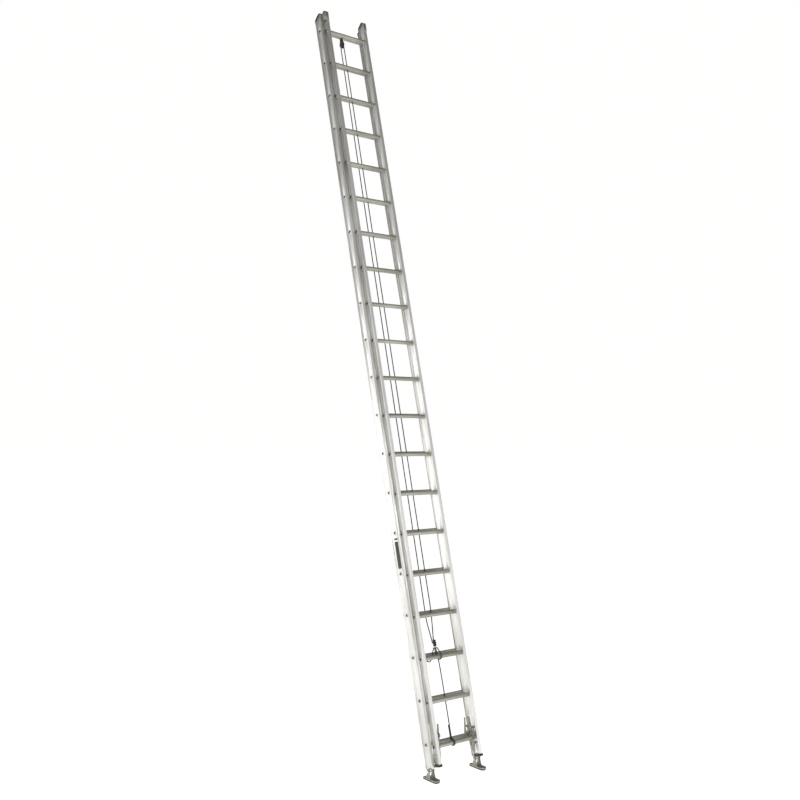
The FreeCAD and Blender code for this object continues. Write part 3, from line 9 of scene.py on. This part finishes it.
import bmesh
import bpy
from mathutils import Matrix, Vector

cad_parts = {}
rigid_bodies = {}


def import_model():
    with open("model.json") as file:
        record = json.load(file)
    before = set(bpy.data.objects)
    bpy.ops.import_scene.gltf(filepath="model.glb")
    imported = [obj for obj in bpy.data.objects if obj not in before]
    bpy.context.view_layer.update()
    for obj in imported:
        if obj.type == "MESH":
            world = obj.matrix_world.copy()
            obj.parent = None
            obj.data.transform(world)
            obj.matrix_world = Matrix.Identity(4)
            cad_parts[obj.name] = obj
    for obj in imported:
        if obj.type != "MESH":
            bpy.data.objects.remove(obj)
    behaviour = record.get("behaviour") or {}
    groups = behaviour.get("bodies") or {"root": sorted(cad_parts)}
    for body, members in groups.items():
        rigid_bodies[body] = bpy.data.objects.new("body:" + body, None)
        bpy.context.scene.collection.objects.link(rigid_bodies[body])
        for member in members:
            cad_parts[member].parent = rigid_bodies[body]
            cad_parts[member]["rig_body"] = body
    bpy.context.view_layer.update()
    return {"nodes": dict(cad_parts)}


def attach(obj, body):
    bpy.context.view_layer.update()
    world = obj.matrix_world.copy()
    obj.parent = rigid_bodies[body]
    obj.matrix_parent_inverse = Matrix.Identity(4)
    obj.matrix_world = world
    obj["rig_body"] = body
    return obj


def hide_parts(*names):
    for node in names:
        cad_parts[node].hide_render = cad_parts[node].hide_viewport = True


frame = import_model()
nodes = frame["nodes"]

# ---------------------------------------------------------------- camera
# The ladder is seen whole from its left front, from a little above a standing person's eyes,
# with the lens of a short telephoto view so that the rails hardly converge.

eye = bpy.data.objects.new("camera", bpy.data.cameras.new("camera"))
bpy.context.scene.collection.objects.link(eye)
eye.location = (-4.72, -5.397, 2.523)
eye.rotation_euler = (math.radians(91.44), math.radians(-0.286), math.radians(-37.933))
eye.data.lens = 44.1
bpy.context.scene.camera = eye

# ---------------------------------------------------------------- hoist rope
# Three-strand laid rope, 9 mm thick. It runs from the pulley down in front of and behind the
# base rungs, and is knotted to a strand that goes round the fly's third rung and is tied on
# its lowest. Each run is a laid cord on the line of its own smooth route.

LEAN = math.radians(14.5)
PIVOT_UP = 0.062
ROPE_THICK = 0.009
STRANDS = 3
ROPE_PER_STRAND = 2.155  # a three-strand rope's thickness over one of its strands'
LAY_LENGTH = 0.031
STEPS_PER_LAY = 10
STRAND_SIDES = 7


def leaning(x, y, z):
    """A point of the ladder's own frame, in millimetres, as a place in the room."""
    y, z = y / 1000, z / 1000
    return Vector((x / 1000, y * math.cos(LEAN) + z * math.sin(LEAN),
                   PIVOT_UP - y * math.sin(LEAN) + z * math.cos(LEAN)))


def new_finish(name, colour, roughness, metallic=0.0):
    """A material with its surface shader, whose fixed numbers sit on the shader's own sockets."""
    finish = bpy.data.materials.new(name)
    finish.use_nodes = True
    shader = finish.node_tree.nodes["Principled BSDF"]
    shader.inputs["Base Color"].default_value = (*colour, 1)
    shader.inputs["Roughness"].default_value = roughness
    shader.inputs["Metallic"].default_value = metallic
    return finish


def grain(finish, scale, stretch=(1, 1, 1)):
    """Noise over the piece's own space, turned to the rails' line and stretched; its value."""
    tree = finish.node_tree
    place = tree.nodes.new("ShaderNodeTexCoord")
    turn = tree.nodes.new("ShaderNodeMapping")
    turn.inputs["Rotation"].default_value[0] = LEAN
    pull = tree.nodes.new("ShaderNodeMapping")
    pull.inputs["Scale"].default_value = stretch
    noise = tree.nodes.new("ShaderNodeTexNoise")
    noise.inputs["Scale"].default_value = scale
    noise.inputs["Detail"].default_value = 3
    tree.links.new(place.outputs["Object"], turn.inputs["Vector"])
    tree.links.new(turn.outputs["Vector"], pull.inputs["Vector"])
    tree.links.new(pull.outputs["Vector"], noise.inputs["Vector"])
    return noise.outputs["Fac"]


def spread(finish, value, low, high, start=0.3, end=0.7):
    """Maps a noise's useful range on to two numbers."""
    span = finish.node_tree.nodes.new("ShaderNodeMapRange")
    span.inputs["From Min"].default_value = start
    span.inputs["From Max"].default_value = end
    span.inputs["To Min"].default_value = low
    span.inputs["To Max"].default_value = high
    finish.node_tree.links.new(value, span.inputs["Value"])
    return span.outputs["Result"]


def tint(finish, value, one, other):
    """Colours the surface between two colours by a noise."""
    tree = finish.node_tree
    mix = tree.nodes.new("ShaderNodeMix")
    mix.data_type = "RGBA"
    mix.inputs[6].default_value = (*one, 1)
    mix.inputs[7].default_value = (*other, 1)
    tree.links.new(spread(finish, value, 0, 1, 0.35, 0.65), mix.inputs[0])
    tree.links.new(mix.outputs[2], tree.nodes["Principled BSDF"].inputs["Base Color"])


def roughen(finish, value, low, high):
    """Varies the surface's roughness between two numbers by a noise."""
    shader = finish.node_tree.nodes["Principled BSDF"]
    finish.node_tree.links.new(spread(finish, value, low, high), shader.inputs["Roughness"])


def emboss(finish, value, depth, strength=1.0):
    """A bump from a noise's value; a second one on the same finish adds to the first."""
    tree = finish.node_tree
    normal = tree.nodes["Principled BSDF"].inputs["Normal"]
    bump = tree.nodes.new("ShaderNodeBump")
    bump.inputs["Strength"].default_value = strength
    bump.inputs["Distance"].default_value = depth
    tree.links.new(value, bump.inputs["Height"])
    if normal.is_linked:
        tree.links.new(normal.links[0].from_socket, bump.inputs["Normal"])
    tree.links.new(bump.outputs["Normal"], normal)


rope_finish = new_finish("rope_fibre", (0.03, 0.033, 0.03), 0.75)
rope_finish.node_tree.nodes["Principled BSDF"].inputs["Specular IOR Level"].default_value = 0.25
tint(rope_finish, grain(rope_finish, 900, (1, 1, 0.25)),
     (0.010, 0.012, 0.010), (0.052, 0.058, 0.050))
emboss(rope_finish, grain(rope_finish, 2600, (1, 1, 0.12)), 0.0004)


def evaluated_mesh(item, name):
    """The item as its modifiers leave it, as a mesh piece of its own."""
    bpy.context.view_layer.update()
    deps = bpy.context.evaluated_depsgraph_get()
    mesh = bpy.data.meshes.new_from_object(item.evaluated_get(deps))
    piece = bpy.data.objects.new(name, mesh)
    bpy.context.scene.collection.objects.link(piece)
    return piece


def smooth_line(points):
    """The points along a smooth spline that has the given ones as its control points."""
    curve = bpy.data.curves.new("route", "CURVE")
    curve.dimensions = "3D"
    curve.resolution_u = 24
    spline = curve.splines.new("NURBS")
    spline.points.add(len(points) - 1)
    for point, place in zip(spline.points, points):
        point.co = (*place, 1)
    spline.order_u = 3
    spline.use_endpoint_u = True
    holder = bpy.data.objects.new("route", curve)
    bpy.context.scene.collection.objects.link(holder)
    route = evaluated_mesh(holder, "route_line")
    bpy.data.objects.remove(holder)
    return route


def rope_tree():
    """Geometry nodes: strands laid round a line, each a round cord on its own helix."""
    tree = bpy.data.node_groups.new("laid_rope", "GeometryNodeTree")
    face = tree.interface
    face.new_socket("Geometry", in_out="INPUT", socket_type="NodeSocketGeometry")
    face.new_socket("Strand Radius", in_out="INPUT", socket_type="NodeSocketFloat")
    face.new_socket("Strand Offset", in_out="INPUT", socket_type="NodeSocketFloat")
    face.new_socket("Lay Length", in_out="INPUT", socket_type="NodeSocketFloat")
    face.new_socket("Material", in_out="INPUT", socket_type="NodeSocketMaterial")
    face.new_socket("Geometry", in_out="OUTPUT", socket_type="NodeSocketGeometry")
    make = tree.nodes.new
    link = tree.links.new
    entry = make("NodeGroupInput")
    line = make("GeometryNodeMeshToCurve")
    link(entry.outputs["Geometry"], line.inputs["Mesh"])
    step = make("ShaderNodeMath")
    step.operation = "DIVIDE"
    link(entry.outputs["Lay Length"], step.inputs[0])
    step.inputs[1].default_value = STEPS_PER_LAY
    even = make("GeometryNodeResampleCurve")
    even.mode = "LENGTH"
    link(line.outputs["Curve"], even.inputs["Curve"])
    link(step.outputs[0], even.inputs["Length"])
    travelled = make("GeometryNodeSplineParameter")
    turns = make("ShaderNodeMath")
    turns.operation = "DIVIDE"
    link(travelled.outputs["Length"], turns.inputs[0])
    link(entry.outputs["Lay Length"], turns.inputs[1])
    radians = make("ShaderNodeMath")
    radians.operation = "MULTIPLY"
    radians.inputs[1].default_value = 2 * math.pi
    link(turns.outputs[0], radians.inputs[0])
    normal = make("GeometryNodeInputNormal")
    tangent = make("GeometryNodeInputTangent")
    profile = make("GeometryNodeCurvePrimitiveCircle")
    profile.inputs["Resolution"].default_value = STRAND_SIDES
    link(entry.outputs["Strand Radius"], profile.inputs["Radius"])
    joined = make("GeometryNodeJoinGeometry")
    for strand in range(STRANDS):
        angle = make("ShaderNodeMath")
        angle.operation = "ADD"
        angle.inputs[1].default_value = strand * 2 * math.pi / STRANDS
        link(radians.outputs[0], angle.inputs[0])
        outward = make("ShaderNodeVectorRotate")
        outward.rotation_type = "AXIS_ANGLE"
        link(normal.outputs["Normal"], outward.inputs["Vector"])
        link(tangent.outputs["Tangent"], outward.inputs["Axis"])
        link(angle.outputs[0], outward.inputs["Angle"])
        away = make("ShaderNodeVectorMath")
        away.operation = "SCALE"
        link(outward.outputs["Vector"], away.inputs[0])
        link(entry.outputs["Strand Offset"], away.inputs["Scale"])
        moved = make("GeometryNodeSetPosition")
        link(even.outputs["Curve"], moved.inputs["Geometry"])
        link(away.outputs["Vector"], moved.inputs["Offset"])
        swept = make("GeometryNodeCurveToMesh")
        swept.inputs["Fill Caps"].default_value = True
        link(moved.outputs["Geometry"], swept.inputs["Curve"])
        link(profile.outputs["Curve"], swept.inputs["Profile Curve"])
        link(swept.outputs["Mesh"], joined.inputs["Geometry"])
    real = make("GeometryNodeRealizeInstances")
    dress = make("GeometryNodeSetMaterial")
    leave = make("NodeGroupOutput")
    link(joined.outputs["Geometry"], real.inputs["Geometry"])
    link(real.outputs["Geometry"], dress.inputs["Geometry"])
    link(entry.outputs["Material"], dress.inputs["Material"])
    link(dress.outputs["Geometry"], leave.inputs["Geometry"])
    return tree


laid_rope = rope_tree()


def grow(item, tree, **sizes):
    """Puts a geometry tree on an item, with its named inputs set by their identifiers."""
    modifier = item.modifiers.new("made", "NODES")
    modifier.node_group = tree
    for socket in tree.interface.items_tree:
        name = socket.name.lower().replace(" ", "_")
        if socket.in_out == "INPUT" and name in sizes:
            modifier[socket.identifier] = sizes[name]


def lay_rope(name, points, thick=ROPE_THICK, lay=LAY_LENGTH):
    """A laid rope along a smooth line; returns the piece and the points that it follows."""
    route = smooth_line(points)
    path = [tuple(vertex.co) for vertex in route.data.vertices]
    radius = thick / (2 * ROPE_PER_STRAND)
    grow(route, laid_rope, strand_radius=radius, strand_offset=thick / 2 - radius, lay_length=lay,
         material=rope_finish)
    piece = evaluated_mesh(route, name)
    bpy.data.objects.remove(route)
    piece.data.shade_smooth()
    return piece, path


SEAM = (-8, 27.2, 5844.2)
haul_points = [SEAM, (-8, 27.2, 5913), (-8, 14.8, 5925.4), (-8, -2.8, 5925.4),
               (-8, -15.2, 5913), (-8, -15.2, 5850), (-8, -15.2, 1259.5), (-8, -15.2, 1064.4),
               (-30, -15.2, 870.6)]
fall_points = [(-8, 27.2, 5842.6), (-31.3, 27.2, 1156), (-32, 27.2, 1024.4), (-42, -15.2, 900.6),
               (-42, -15.2, 870.6)]
loop_points = [(-26, -38, 838), (-17, -66.8, 794.2), (-17, -66.8, 749.4), (-28, -25.2, 749.4),
               (-34, -25.2, 794.2), (-37, -26.2, 838)]
tail_points = [(-48, -30.5, 838), (-64, -26.2, 799.2), (-78, -25.2, 761.2), (-100, -25.2, 739.2),
               (-126, -25.2, 749.2), (-138, -25.2, 770.2)]
lower_points = [(-26, -25.2, 838), (-13, -25.2, 738.2), (-10, -25.2, 465.4), (-8, -25.2, 183.3)]
RUNS = (("hoist_haul", "base", "rope_haul", haul_points, 5.161),
        ("hoist_fall", "base", "rope_return", fall_points, 4.978),
        ("hoist_loop", "fly", "rope_loop", loop_points, 0.212),
        ("hoist_tail", "fly", "rope_tail", tail_points, 0.162),
        ("hoist_lower", "fly", "rope_lower", lower_points, 0.655))
for run_name, run_body, run_node, run_points, run_length in RUNS:
    places = [leaning(*point) for point in run_points]
    run, run_path = lay_rope(run_name, places)
    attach(run, run_body)
    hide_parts(run_node)

# the knots: the rope's own turns, drawn tight round the strands and round the lowest rung
KNOT_MIDDLE = (-36, -32.5)
KNOT_LOW, KNOT_TALL = 846, 42
KNOT_WIDE, KNOT_TURNS, KNOT_STEPS = 10.5, 3.2, 26
KNOT_ROPE_THICK, KNOT_LAY = 0.011, 0.03
turns = []
for step in range(KNOT_STEPS + 1):
    share = step / KNOT_STEPS
    angle = 2 * math.pi * KNOT_TURNS * share
    wide = KNOT_WIDE + 1.8 * math.sin(5 * angle / 3)
    turns.append((KNOT_MIDDLE[0] + wide * math.cos(angle), KNOT_MIDDLE[1] + wide * math.sin(angle),
                  KNOT_LOW + KNOT_TALL * share + 3.5 * math.sin(angle + 0.6)))
tie_knot = lay_rope("tie_knot", [leaning(*point) for point in turns],
                    KNOT_ROPE_THICK, KNOT_LAY)[0]
through = [(-30, -27, 893), (-34, -31, 875), (-40, -34, 858), (-38, -31, 843)]
core = lay_rope("tie_core", [leaning(*point) for point in through])[0]
back_through = [(-42, -27, 893), (-37, -35, 873), (-30, -34, 857), (-32, -32, 843)]
core_other = lay_rope("tie_core_other", [leaning(*point) for point in back_through])[0]

RUNG_MIDDLE = (-46, 160.55)
WOUND_RADIUS = 20.8
WOUND_STEPS = 30
wound = []
for step in range(WOUND_STEPS + 1):
    share = step / WOUND_STEPS
    angle = math.pi * (0.1 + 4.3 * share)
    wound.append((-13.5 - 11.5 * share, RUNG_MIDDLE[0] + WOUND_RADIUS * math.cos(angle),
                  RUNG_MIDDLE[1] - WOUND_RADIUS * math.sin(angle)))
end_knot = lay_rope("end_knot", [leaning(*point) for point in wound])[0]
doubled = [(-25.6, -40, 181.5), (-22, -31, 192), (-17.5, -26.2, 207), (-17.6, -25.4, 245),
           (-18.2, -25.4, 283)]
end_tail = lay_rope("end_tail", [leaning(*point) for point in doubled])[0]
bight = [(-9, -28, 178), (-8, -39, 184.5), (-14, -48, 185.5), (-22, -46, 185), (-27, -36, 185),
         (-21, -27.5, 191), (-11, -25.5, 196)]
end_hitch = lay_rope("end_hitch", [leaning(*point) for point in bight])[0]


def join(name, pieces):
    """Several mesh pieces as one."""
    whole = bmesh.new()
    for piece in pieces:
        whole.from_mesh(piece.data)
    mesh = pieces[0].data
    whole.to_mesh(mesh)
    whole.free()
    mesh.name = name
    pieces[0].name = name
    for piece in pieces[1:]:
        bpy.data.objects.remove(piece)
    return pieces[0]


tie_knot = join("tie_knot", [tie_knot, core, core_other])
end_knot = join("end_knot", [end_knot, end_tail, end_hitch])
for knot, knot_node in ((tie_knot, "rope_tie_knot"), (end_knot, "rope_end_knot")):
    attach(knot, "fly")
    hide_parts(knot_node)

# ---------------------------------------------------------------- rails
# Extruded aluminium I-beams, left as they come from the die: bright, with fine lines along
# them, a little dulled in patches by handling. Their edges are broken by half a millimetre.


EDGE_ANGLE = math.radians(50)
SMOOTH_ANGLE = math.radians(32)


def softened(name, width):
    """A copy of a CAD piece with its sharp edges broken, standing for it."""
    node = nodes[name]
    mesh = node.data.copy()
    shape = bmesh.new()
    shape.from_mesh(mesh)
    bmesh.ops.remove_doubles(shape, verts=shape.verts, dist=0.00001)
    bmesh.ops.dissolve_limit(shape, angle_limit=math.radians(0.5), verts=shape.verts,
                             edges=shape.edges)
    shape.to_mesh(mesh)
    shape.free()
    holder = bpy.data.objects.new("holder", mesh)
    bpy.context.scene.collection.objects.link(holder)
    bevel = holder.modifiers.new("edges", "BEVEL")
    bevel.width = width
    bevel.segments = 2
    bevel.limit_method = "ANGLE"
    bevel.angle_limit = EDGE_ANGLE
    bevel.use_clamp_overlap = True
    piece = evaluated_mesh(holder, f"{name}_finished")
    bpy.data.objects.remove(holder)
    piece.data.shade_smooth()
    piece.data.set_sharp_from_angle(angle=SMOOTH_ANGLE)
    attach(piece, node["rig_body"])
    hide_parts(name)
    return piece


def coat(piece, finish):
    """Gives a piece its finish."""
    piece.data.materials.clear()
    piece.data.materials.append(finish)


rail_finish = new_finish("drawn_aluminium", (0.72, 0.71, 0.69), 0.4, 0.85)
tint(rail_finish, grain(rail_finish, 5, (1, 1, 0.35)), (0.64, 0.635, 0.61), (0.78, 0.775, 0.76))
roughen(rail_finish, grain(rail_finish, 160, (1, 1, 0.02)), 0.32, 0.5)
emboss(rail_finish, grain(rail_finish, 700, (1, 1, 0.006)), 0.00015, 0.5)
for side in ("left", "right"):
    for section in ("base", "fly"):
        coat(softened(f"{section}_rail_{side}", 0.0005), rail_finish)

# ---------------------------------------------------------------- rungs
# Hollow aluminium D-sections with a ribbed tread, pushed through the rails' webs and swaged
# over outside them, so each end shows a bright rolled ring round a bore. The bore is drawn
# near-black: painted shade inside the hollow rung.

rung_finish = new_finish("rung_aluminium", (0.39, 0.38, 0.33), 0.5, 0.7)
tint(rung_finish, grain(rung_finish, 9, (0.4, 1, 1)), (0.33, 0.32, 0.275), (0.45, 0.44, 0.39))
roughen(rung_finish, grain(rung_finish, 200, (0.03, 1, 1)), 0.42, 0.6)
emboss(rung_finish, grain(rung_finish, 800, (0.012, 1, 1)), 0.0002, 0.5)
ring_finish = new_finish("swaged_ring", (0.50, 0.49, 0.46), 0.4, 0.85)
roughen(ring_finish, grain(ring_finish, 500), 0.32, 0.5)
# the bore's near-black colour is painted shade, the shadow inside the hollow rung, not the metal's
# own colour
bore_shade_finish = new_finish("rung_bore", (0.03, 0.03, 0.028), 0.7)
roughen(bore_shade_finish, grain(bore_shade_finish, 500), 0.6, 0.8)
WEB_FACE = {"base": 0.2223, "fly": 0.1953}  # metres from the middle, just outside each web
RING, SHADED_BORE = 1, 2  # the finishes' places on a rung
RUNGS_IN_GROUP = 4


def in_ladder_frame(place):
    """How far behind the pivot and how far up the rails a place is, in metres."""
    up = place.z - PIVOT_UP
    return (place.y * math.cos(LEAN) - up * math.sin(LEAN),
            place.y * math.sin(LEAN) + up * math.cos(LEAN))


def faces_its_axis(face, middle, lowest, half, spacing):
    """Whether a rung's face looks in at the rung's own axis, as the bore's wall does."""
    behind, along = in_ladder_frame(face.center)
    index = round((along - lowest - half) / spacing)
    out = (behind - middle, along - lowest - half - index * spacing)
    normal_y, normal_z = face.normal.y, face.normal.z
    turned = (normal_y * math.cos(LEAN) - normal_z * math.sin(LEAN),
              normal_y * math.sin(LEAN) + normal_z * math.cos(LEAN))
    return out[0] * turned[0] + out[1] * turned[1] < -0.3 * math.hypot(*out)


for name in nodes:
    if "_rungs_" in name:
        rung = softened(name, 0.0003)
        coat(rung, rung_finish)
        rung.data.materials.append(ring_finish)
        rung.data.materials.append(bore_shade_finish)
        spots = [in_ladder_frame(corner.co) for corner in rung.data.vertices]
        front, back = min(spot[0] for spot in spots), max(spot[0] for spot in spots)
        lowest, highest = min(spot[1] for spot in spots), max(spot[1] for spot in spots)
        half = (back - front) / 2
        spacing = (highest - lowest - 2 * half) / (RUNGS_IN_GROUP - 1)
        # faces looking in at the axis, the bore's wall, take the painted shade; faces outside the
        # webs take the ring's finish
        for face in rung.data.polygons:
            if faces_its_axis(face, (front + back) / 2, lowest, half, spacing):
                face.material_index = SHADED_BORE
            elif abs(face.center.x) > WEB_FACE[name.split("_")[0]]:
                face.material_index = RING

# ---------------------------------------------------------------- end caps
# Black moulded plastic, with the fine spark-eroded grain of its mould, pressed on the tops of
# the four rails and over the feet of the fly.

cap_finish = new_finish("cap_plastic", (0.018, 0.018, 0.018), 0.45)
roughen(cap_finish, grain(cap_finish, 300), 0.38, 0.58)
emboss(cap_finish, grain(cap_finish, 1800), 0.0003, 0.6)
for side in ("left", "right"):
    for cap in ("base_top_cap", "fly_top_cap", "fly_bottom_cap"):
        coat(softened(f"{cap}_{side}", 0.0007), cap_finish)

# ---------------------------------------------------------------- guides and rivets
# Formed aluminium brackets that keep the two sections together as they slide, held by plated
# steel rivets with low domed heads.

guide_finish = new_finish("guide_aluminium", (0.62, 0.615, 0.58), 0.42, 0.9)
tint(guide_finish, grain(guide_finish, 40), (0.36, 0.355, 0.32), (0.50, 0.495, 0.455))
roughen(guide_finish, grain(guide_finish, 220, (1, 1, 0.1)), 0.34, 0.52)
emboss(guide_finish, grain(guide_finish, 900, (1, 1, 0.08)), 0.0002, 0.5)
rivet_finish = new_finish("rivet_steel", (0.58, 0.575, 0.55), 0.38, 0.95)
roughen(rivet_finish, grain(rivet_finish, 900), 0.3, 0.5)
for side in ("left", "right"):
    for guide in ("top_guide", "bottom_guide"):
        coat(softened(f"{guide}_{side}", 0.0006), guide_finish)
for section in ("base", "fly"):
    coat(nodes[f"{section}_rivets"], rivet_finish)

# ---------------------------------------------------------------- shoes
# Pressed and plated steel, dull and olive-grey, on a bolt through the foot bracket, with a
# grooved rubber sole underneath.

shoe_finish = new_finish("shoe_plating", (0.42, 0.41, 0.35), 0.48, 0.75)
tint(shoe_finish, grain(shoe_finish, 45), (0.22, 0.213, 0.175), (0.36, 0.35, 0.30))
roughen(shoe_finish, grain(shoe_finish, 160), 0.38, 0.6)
emboss(shoe_finish, grain(shoe_finish, 1200), 0.0003, 0.5)
sole_finish = new_finish("sole_rubber", (0.022, 0.021, 0.020), 0.8)
tint(sole_finish, grain(sole_finish, 60), (0.016, 0.016, 0.015), (0.045, 0.043, 0.038))
emboss(sole_finish, grain(sole_finish, 1500), 0.0004, 0.7)
bolt_finish = new_finish("zinc_plating", (0.60, 0.59, 0.55), 0.36, 0.95)
tint(bolt_finish, grain(bolt_finish, 120), (0.52, 0.51, 0.46), (0.66, 0.65, 0.62))
roughen(bolt_finish, grain(bolt_finish, 400), 0.28, 0.48)
for side in ("left", "right"):
    coat(softened(f"foot_bracket_{side}", 0.0005), shoe_finish)
    coat(softened(f"shoe_plate_{side}", 0.0008), shoe_finish)
    coat(softened(f"shoe_pad_{side}", 0.0008), sole_finish)
    coat(softened(f"shoe_bolt_{side}", 0.0006), bolt_finish)

# ---------------------------------------------------------------- pulley
# A black-coated steel block hung by a strap from the base's top rung, with a nylon sheave.

strap_finish = new_finish("black_coating", (0.022, 0.022, 0.022), 0.42, 0.3)
tint(strap_finish, grain(strap_finish, 120), (0.016, 0.016, 0.016), (0.05, 0.05, 0.048))
roughen(strap_finish, grain(strap_finish, 500), 0.32, 0.55)
sheave_finish = new_finish("sheave_nylon", (0.03, 0.03, 0.03), 0.5)
roughen(sheave_finish, grain(sheave_finish, 400), 0.4, 0.6)
for part in ("pulley_hanger", "pulley_block", "pulley_pins"):
    coat(softened(part, 0.0004), strap_finish)
coat(nodes["pulley_sheave"], sheave_finish)

# ---------------------------------------------------------------- rung locks
# Cast aluminium plates, hooks and fingers, tumbled to a soft grey, on a zinc-plated pin with
# a black wire spring.

cast_finish = new_finish("cast_aluminium", (0.60, 0.595, 0.56), 0.5, 0.85)
tint(cast_finish, grain(cast_finish, 70), (0.22, 0.215, 0.185), (0.38, 0.37, 0.33))
roughen(cast_finish, grain(cast_finish, 260), 0.42, 0.62)
emboss(cast_finish, grain(cast_finish, 1100), 0.0004, 0.7)
wire_finish = new_finish("spring_wire", (0.02, 0.02, 0.02), 0.35, 0.6)
roughen(wire_finish, grain(wire_finish, 700), 0.28, 0.46)
for side in ("left", "right"):
    for part in ("lock_bracket", "lock_hook", "lock_finger"):
        coat(softened(f"{part}_{side}", 0.0008), cast_finish)
    coat(softened(f"lock_pins_{side}", 0.0004), bolt_finish)
    coat(nodes[f"lock_spring_{side}"], wire_finish)

# ---------------------------------------------------------------- label
# A blank strip of dark vinyl on the left rail, with one pale band near its top.

LABEL_DARK, LABEL_PALE = (0.02, 0.02, 0.022), (0.78, 0.78, 0.75)
BAND_UP, BAND_HALF = 1.7045, 0.0055
label_finish = new_finish("label_vinyl", LABEL_DARK, 0.5)
label_tree = label_finish.node_tree
label_place = label_tree.nodes.new("ShaderNodeTexCoord")
label_turn = label_tree.nodes.new("ShaderNodeMapping")
label_turn.inputs["Rotation"].default_value[0] = LEAN
label_parts = label_tree.nodes.new("ShaderNodeSeparateXYZ")
label_tree.links.new(label_place.outputs["Object"], label_turn.inputs["Vector"])
label_tree.links.new(label_turn.outputs["Vector"], label_parts.inputs["Vector"])
label_band = label_tree.nodes.new("ShaderNodeMath")
label_band.operation = "COMPARE"
label_band.inputs[1].default_value = BAND_UP
label_band.inputs[2].default_value = BAND_HALF
label_tree.links.new(label_parts.outputs["Z"], label_band.inputs[0])
label_mix = label_tree.nodes.new("ShaderNodeMix")
label_mix.data_type = "RGBA"
label_mix.inputs[6].default_value = (*LABEL_DARK, 1)
label_mix.inputs[7].default_value = (*LABEL_PALE, 1)
label_tree.links.new(label_band.outputs[0], label_mix.inputs[0])
label_tree.links.new(label_mix.outputs[2], label_tree.nodes["Principled BSDF"].inputs["Base Color"])
roughen(label_finish, grain(label_finish, 500), 0.42, 0.6)
coat(nodes["rail_label"], label_finish)

# ---------------------------------------------------------------- studio
# A plain pale floor, a soft light high on the ladder's left front, a weaker one on its left
# rear and a low one in front for the lower rungs.
# The room is bright low down and greyer overhead, so the rails darken towards their tops.

floor_mesh = bpy.data.meshes.new("floor")
FLOOR_HALF, FLOOR_GAP = 60, 0.0005
corners = [(side_x * FLOOR_HALF, side_y * FLOOR_HALF, 0)
           for side_x, side_y in ((-1, -1), (1, -1), (1, 1), (-1, 1))]
floor_mesh.from_pydata(corners, [], [(0, 1, 2, 3)])
floor = bpy.data.objects.new("floor", floor_mesh)
bpy.context.scene.collection.objects.link(floor)
floor.location.z = -FLOOR_GAP
floor_paint = new_finish("floor_paint", (0.90, 0.90, 0.895), 0.8)
floor_shader = floor_paint.node_tree.nodes["Principled BSDF"]
floor_shader.inputs["Emission Color"].default_value = (1, 1, 0.995, 1)
floor_shader.inputs["Emission Strength"].default_value = 0.8
floor_mesh.materials.append(floor_paint)

room = bpy.data.worlds.new("room")
bpy.context.scene.world = room
room.use_nodes = True
sky = room.node_tree
sky.nodes.clear()
sky_place = sky.nodes.new("ShaderNodeTexCoord")
sky_parts = sky.nodes.new("ShaderNodeSeparateXYZ")
sky_ramp = sky.nodes.new("ShaderNodeValToRGB")
sky_ramp.color_ramp.elements[0].position = 0.07
sky_ramp.color_ramp.elements[0].color = (1.0, 1.0, 0.99, 1)
sky_ramp.color_ramp.elements[1].position = 0.75
sky_ramp.color_ramp.elements[1].color = (0.16, 0.16, 0.155, 1)
sky_ramp.color_ramp.elements.new(0.40).color = (0.30, 0.30, 0.29, 1)
sky_light = sky.nodes.new("ShaderNodeBackground")
sky_light.inputs["Strength"].default_value = 1.0
sky_seen = sky.nodes.new("ShaderNodeBackground")
sky_seen.inputs["Color"].default_value = (1, 1, 0.995, 1)
sky_seen.inputs["Strength"].default_value = 1.0
sky_ray = sky.nodes.new("ShaderNodeLightPath")
sky_mix = sky.nodes.new("ShaderNodeMixShader")
sky_out = sky.nodes.new("ShaderNodeOutputWorld")
sky.links.new(sky_place.outputs["Generated"], sky_parts.inputs["Vector"])
sky.links.new(sky_parts.outputs["Z"], sky_ramp.inputs["Fac"])
sky.links.new(sky_ramp.outputs["Color"], sky_light.inputs["Color"])
sky.links.new(sky_ray.outputs["Is Camera Ray"], sky_mix.inputs["Fac"])
sky.links.new(sky_light.outputs["Background"], sky_mix.inputs[1])
sky.links.new(sky_seen.outputs["Background"], sky_mix.inputs[2])
sky.links.new(sky_mix.outputs["Shader"], sky_out.inputs["Surface"])


def soft_light(name, place, aim, size, power):
    """A white area light of a size in metres and a power in watts, aimed at a place."""
    lamp = bpy.data.lights.new(name, "AREA")
    lamp.shape = "RECTANGLE"
    lamp.size, lamp.size_y = size
    lamp.energy = power
    holder = bpy.data.objects.new(name, lamp)
    bpy.context.scene.collection.objects.link(holder)
    holder.location = place
    holder.rotation_euler = (Vector(aim) - Vector(place)).to_track_quat("-Z", "Y").to_euler()


soft_light("key", (-3.6, -2.4, 2.9), (0, 0.7, 2.6), (2.4, 1.8), 100)
soft_light("side", (-4.5, 4.6, 2.6), (0, 0.7, 2.7), (4.0, 3.0), 70)
soft_light("waist", (-2.6, -4.6, 1.6), (0, 0.2, 0.6), (2.4, 1.8), 70)
bpy.context.scene.view_settings.view_transform = "Standard"
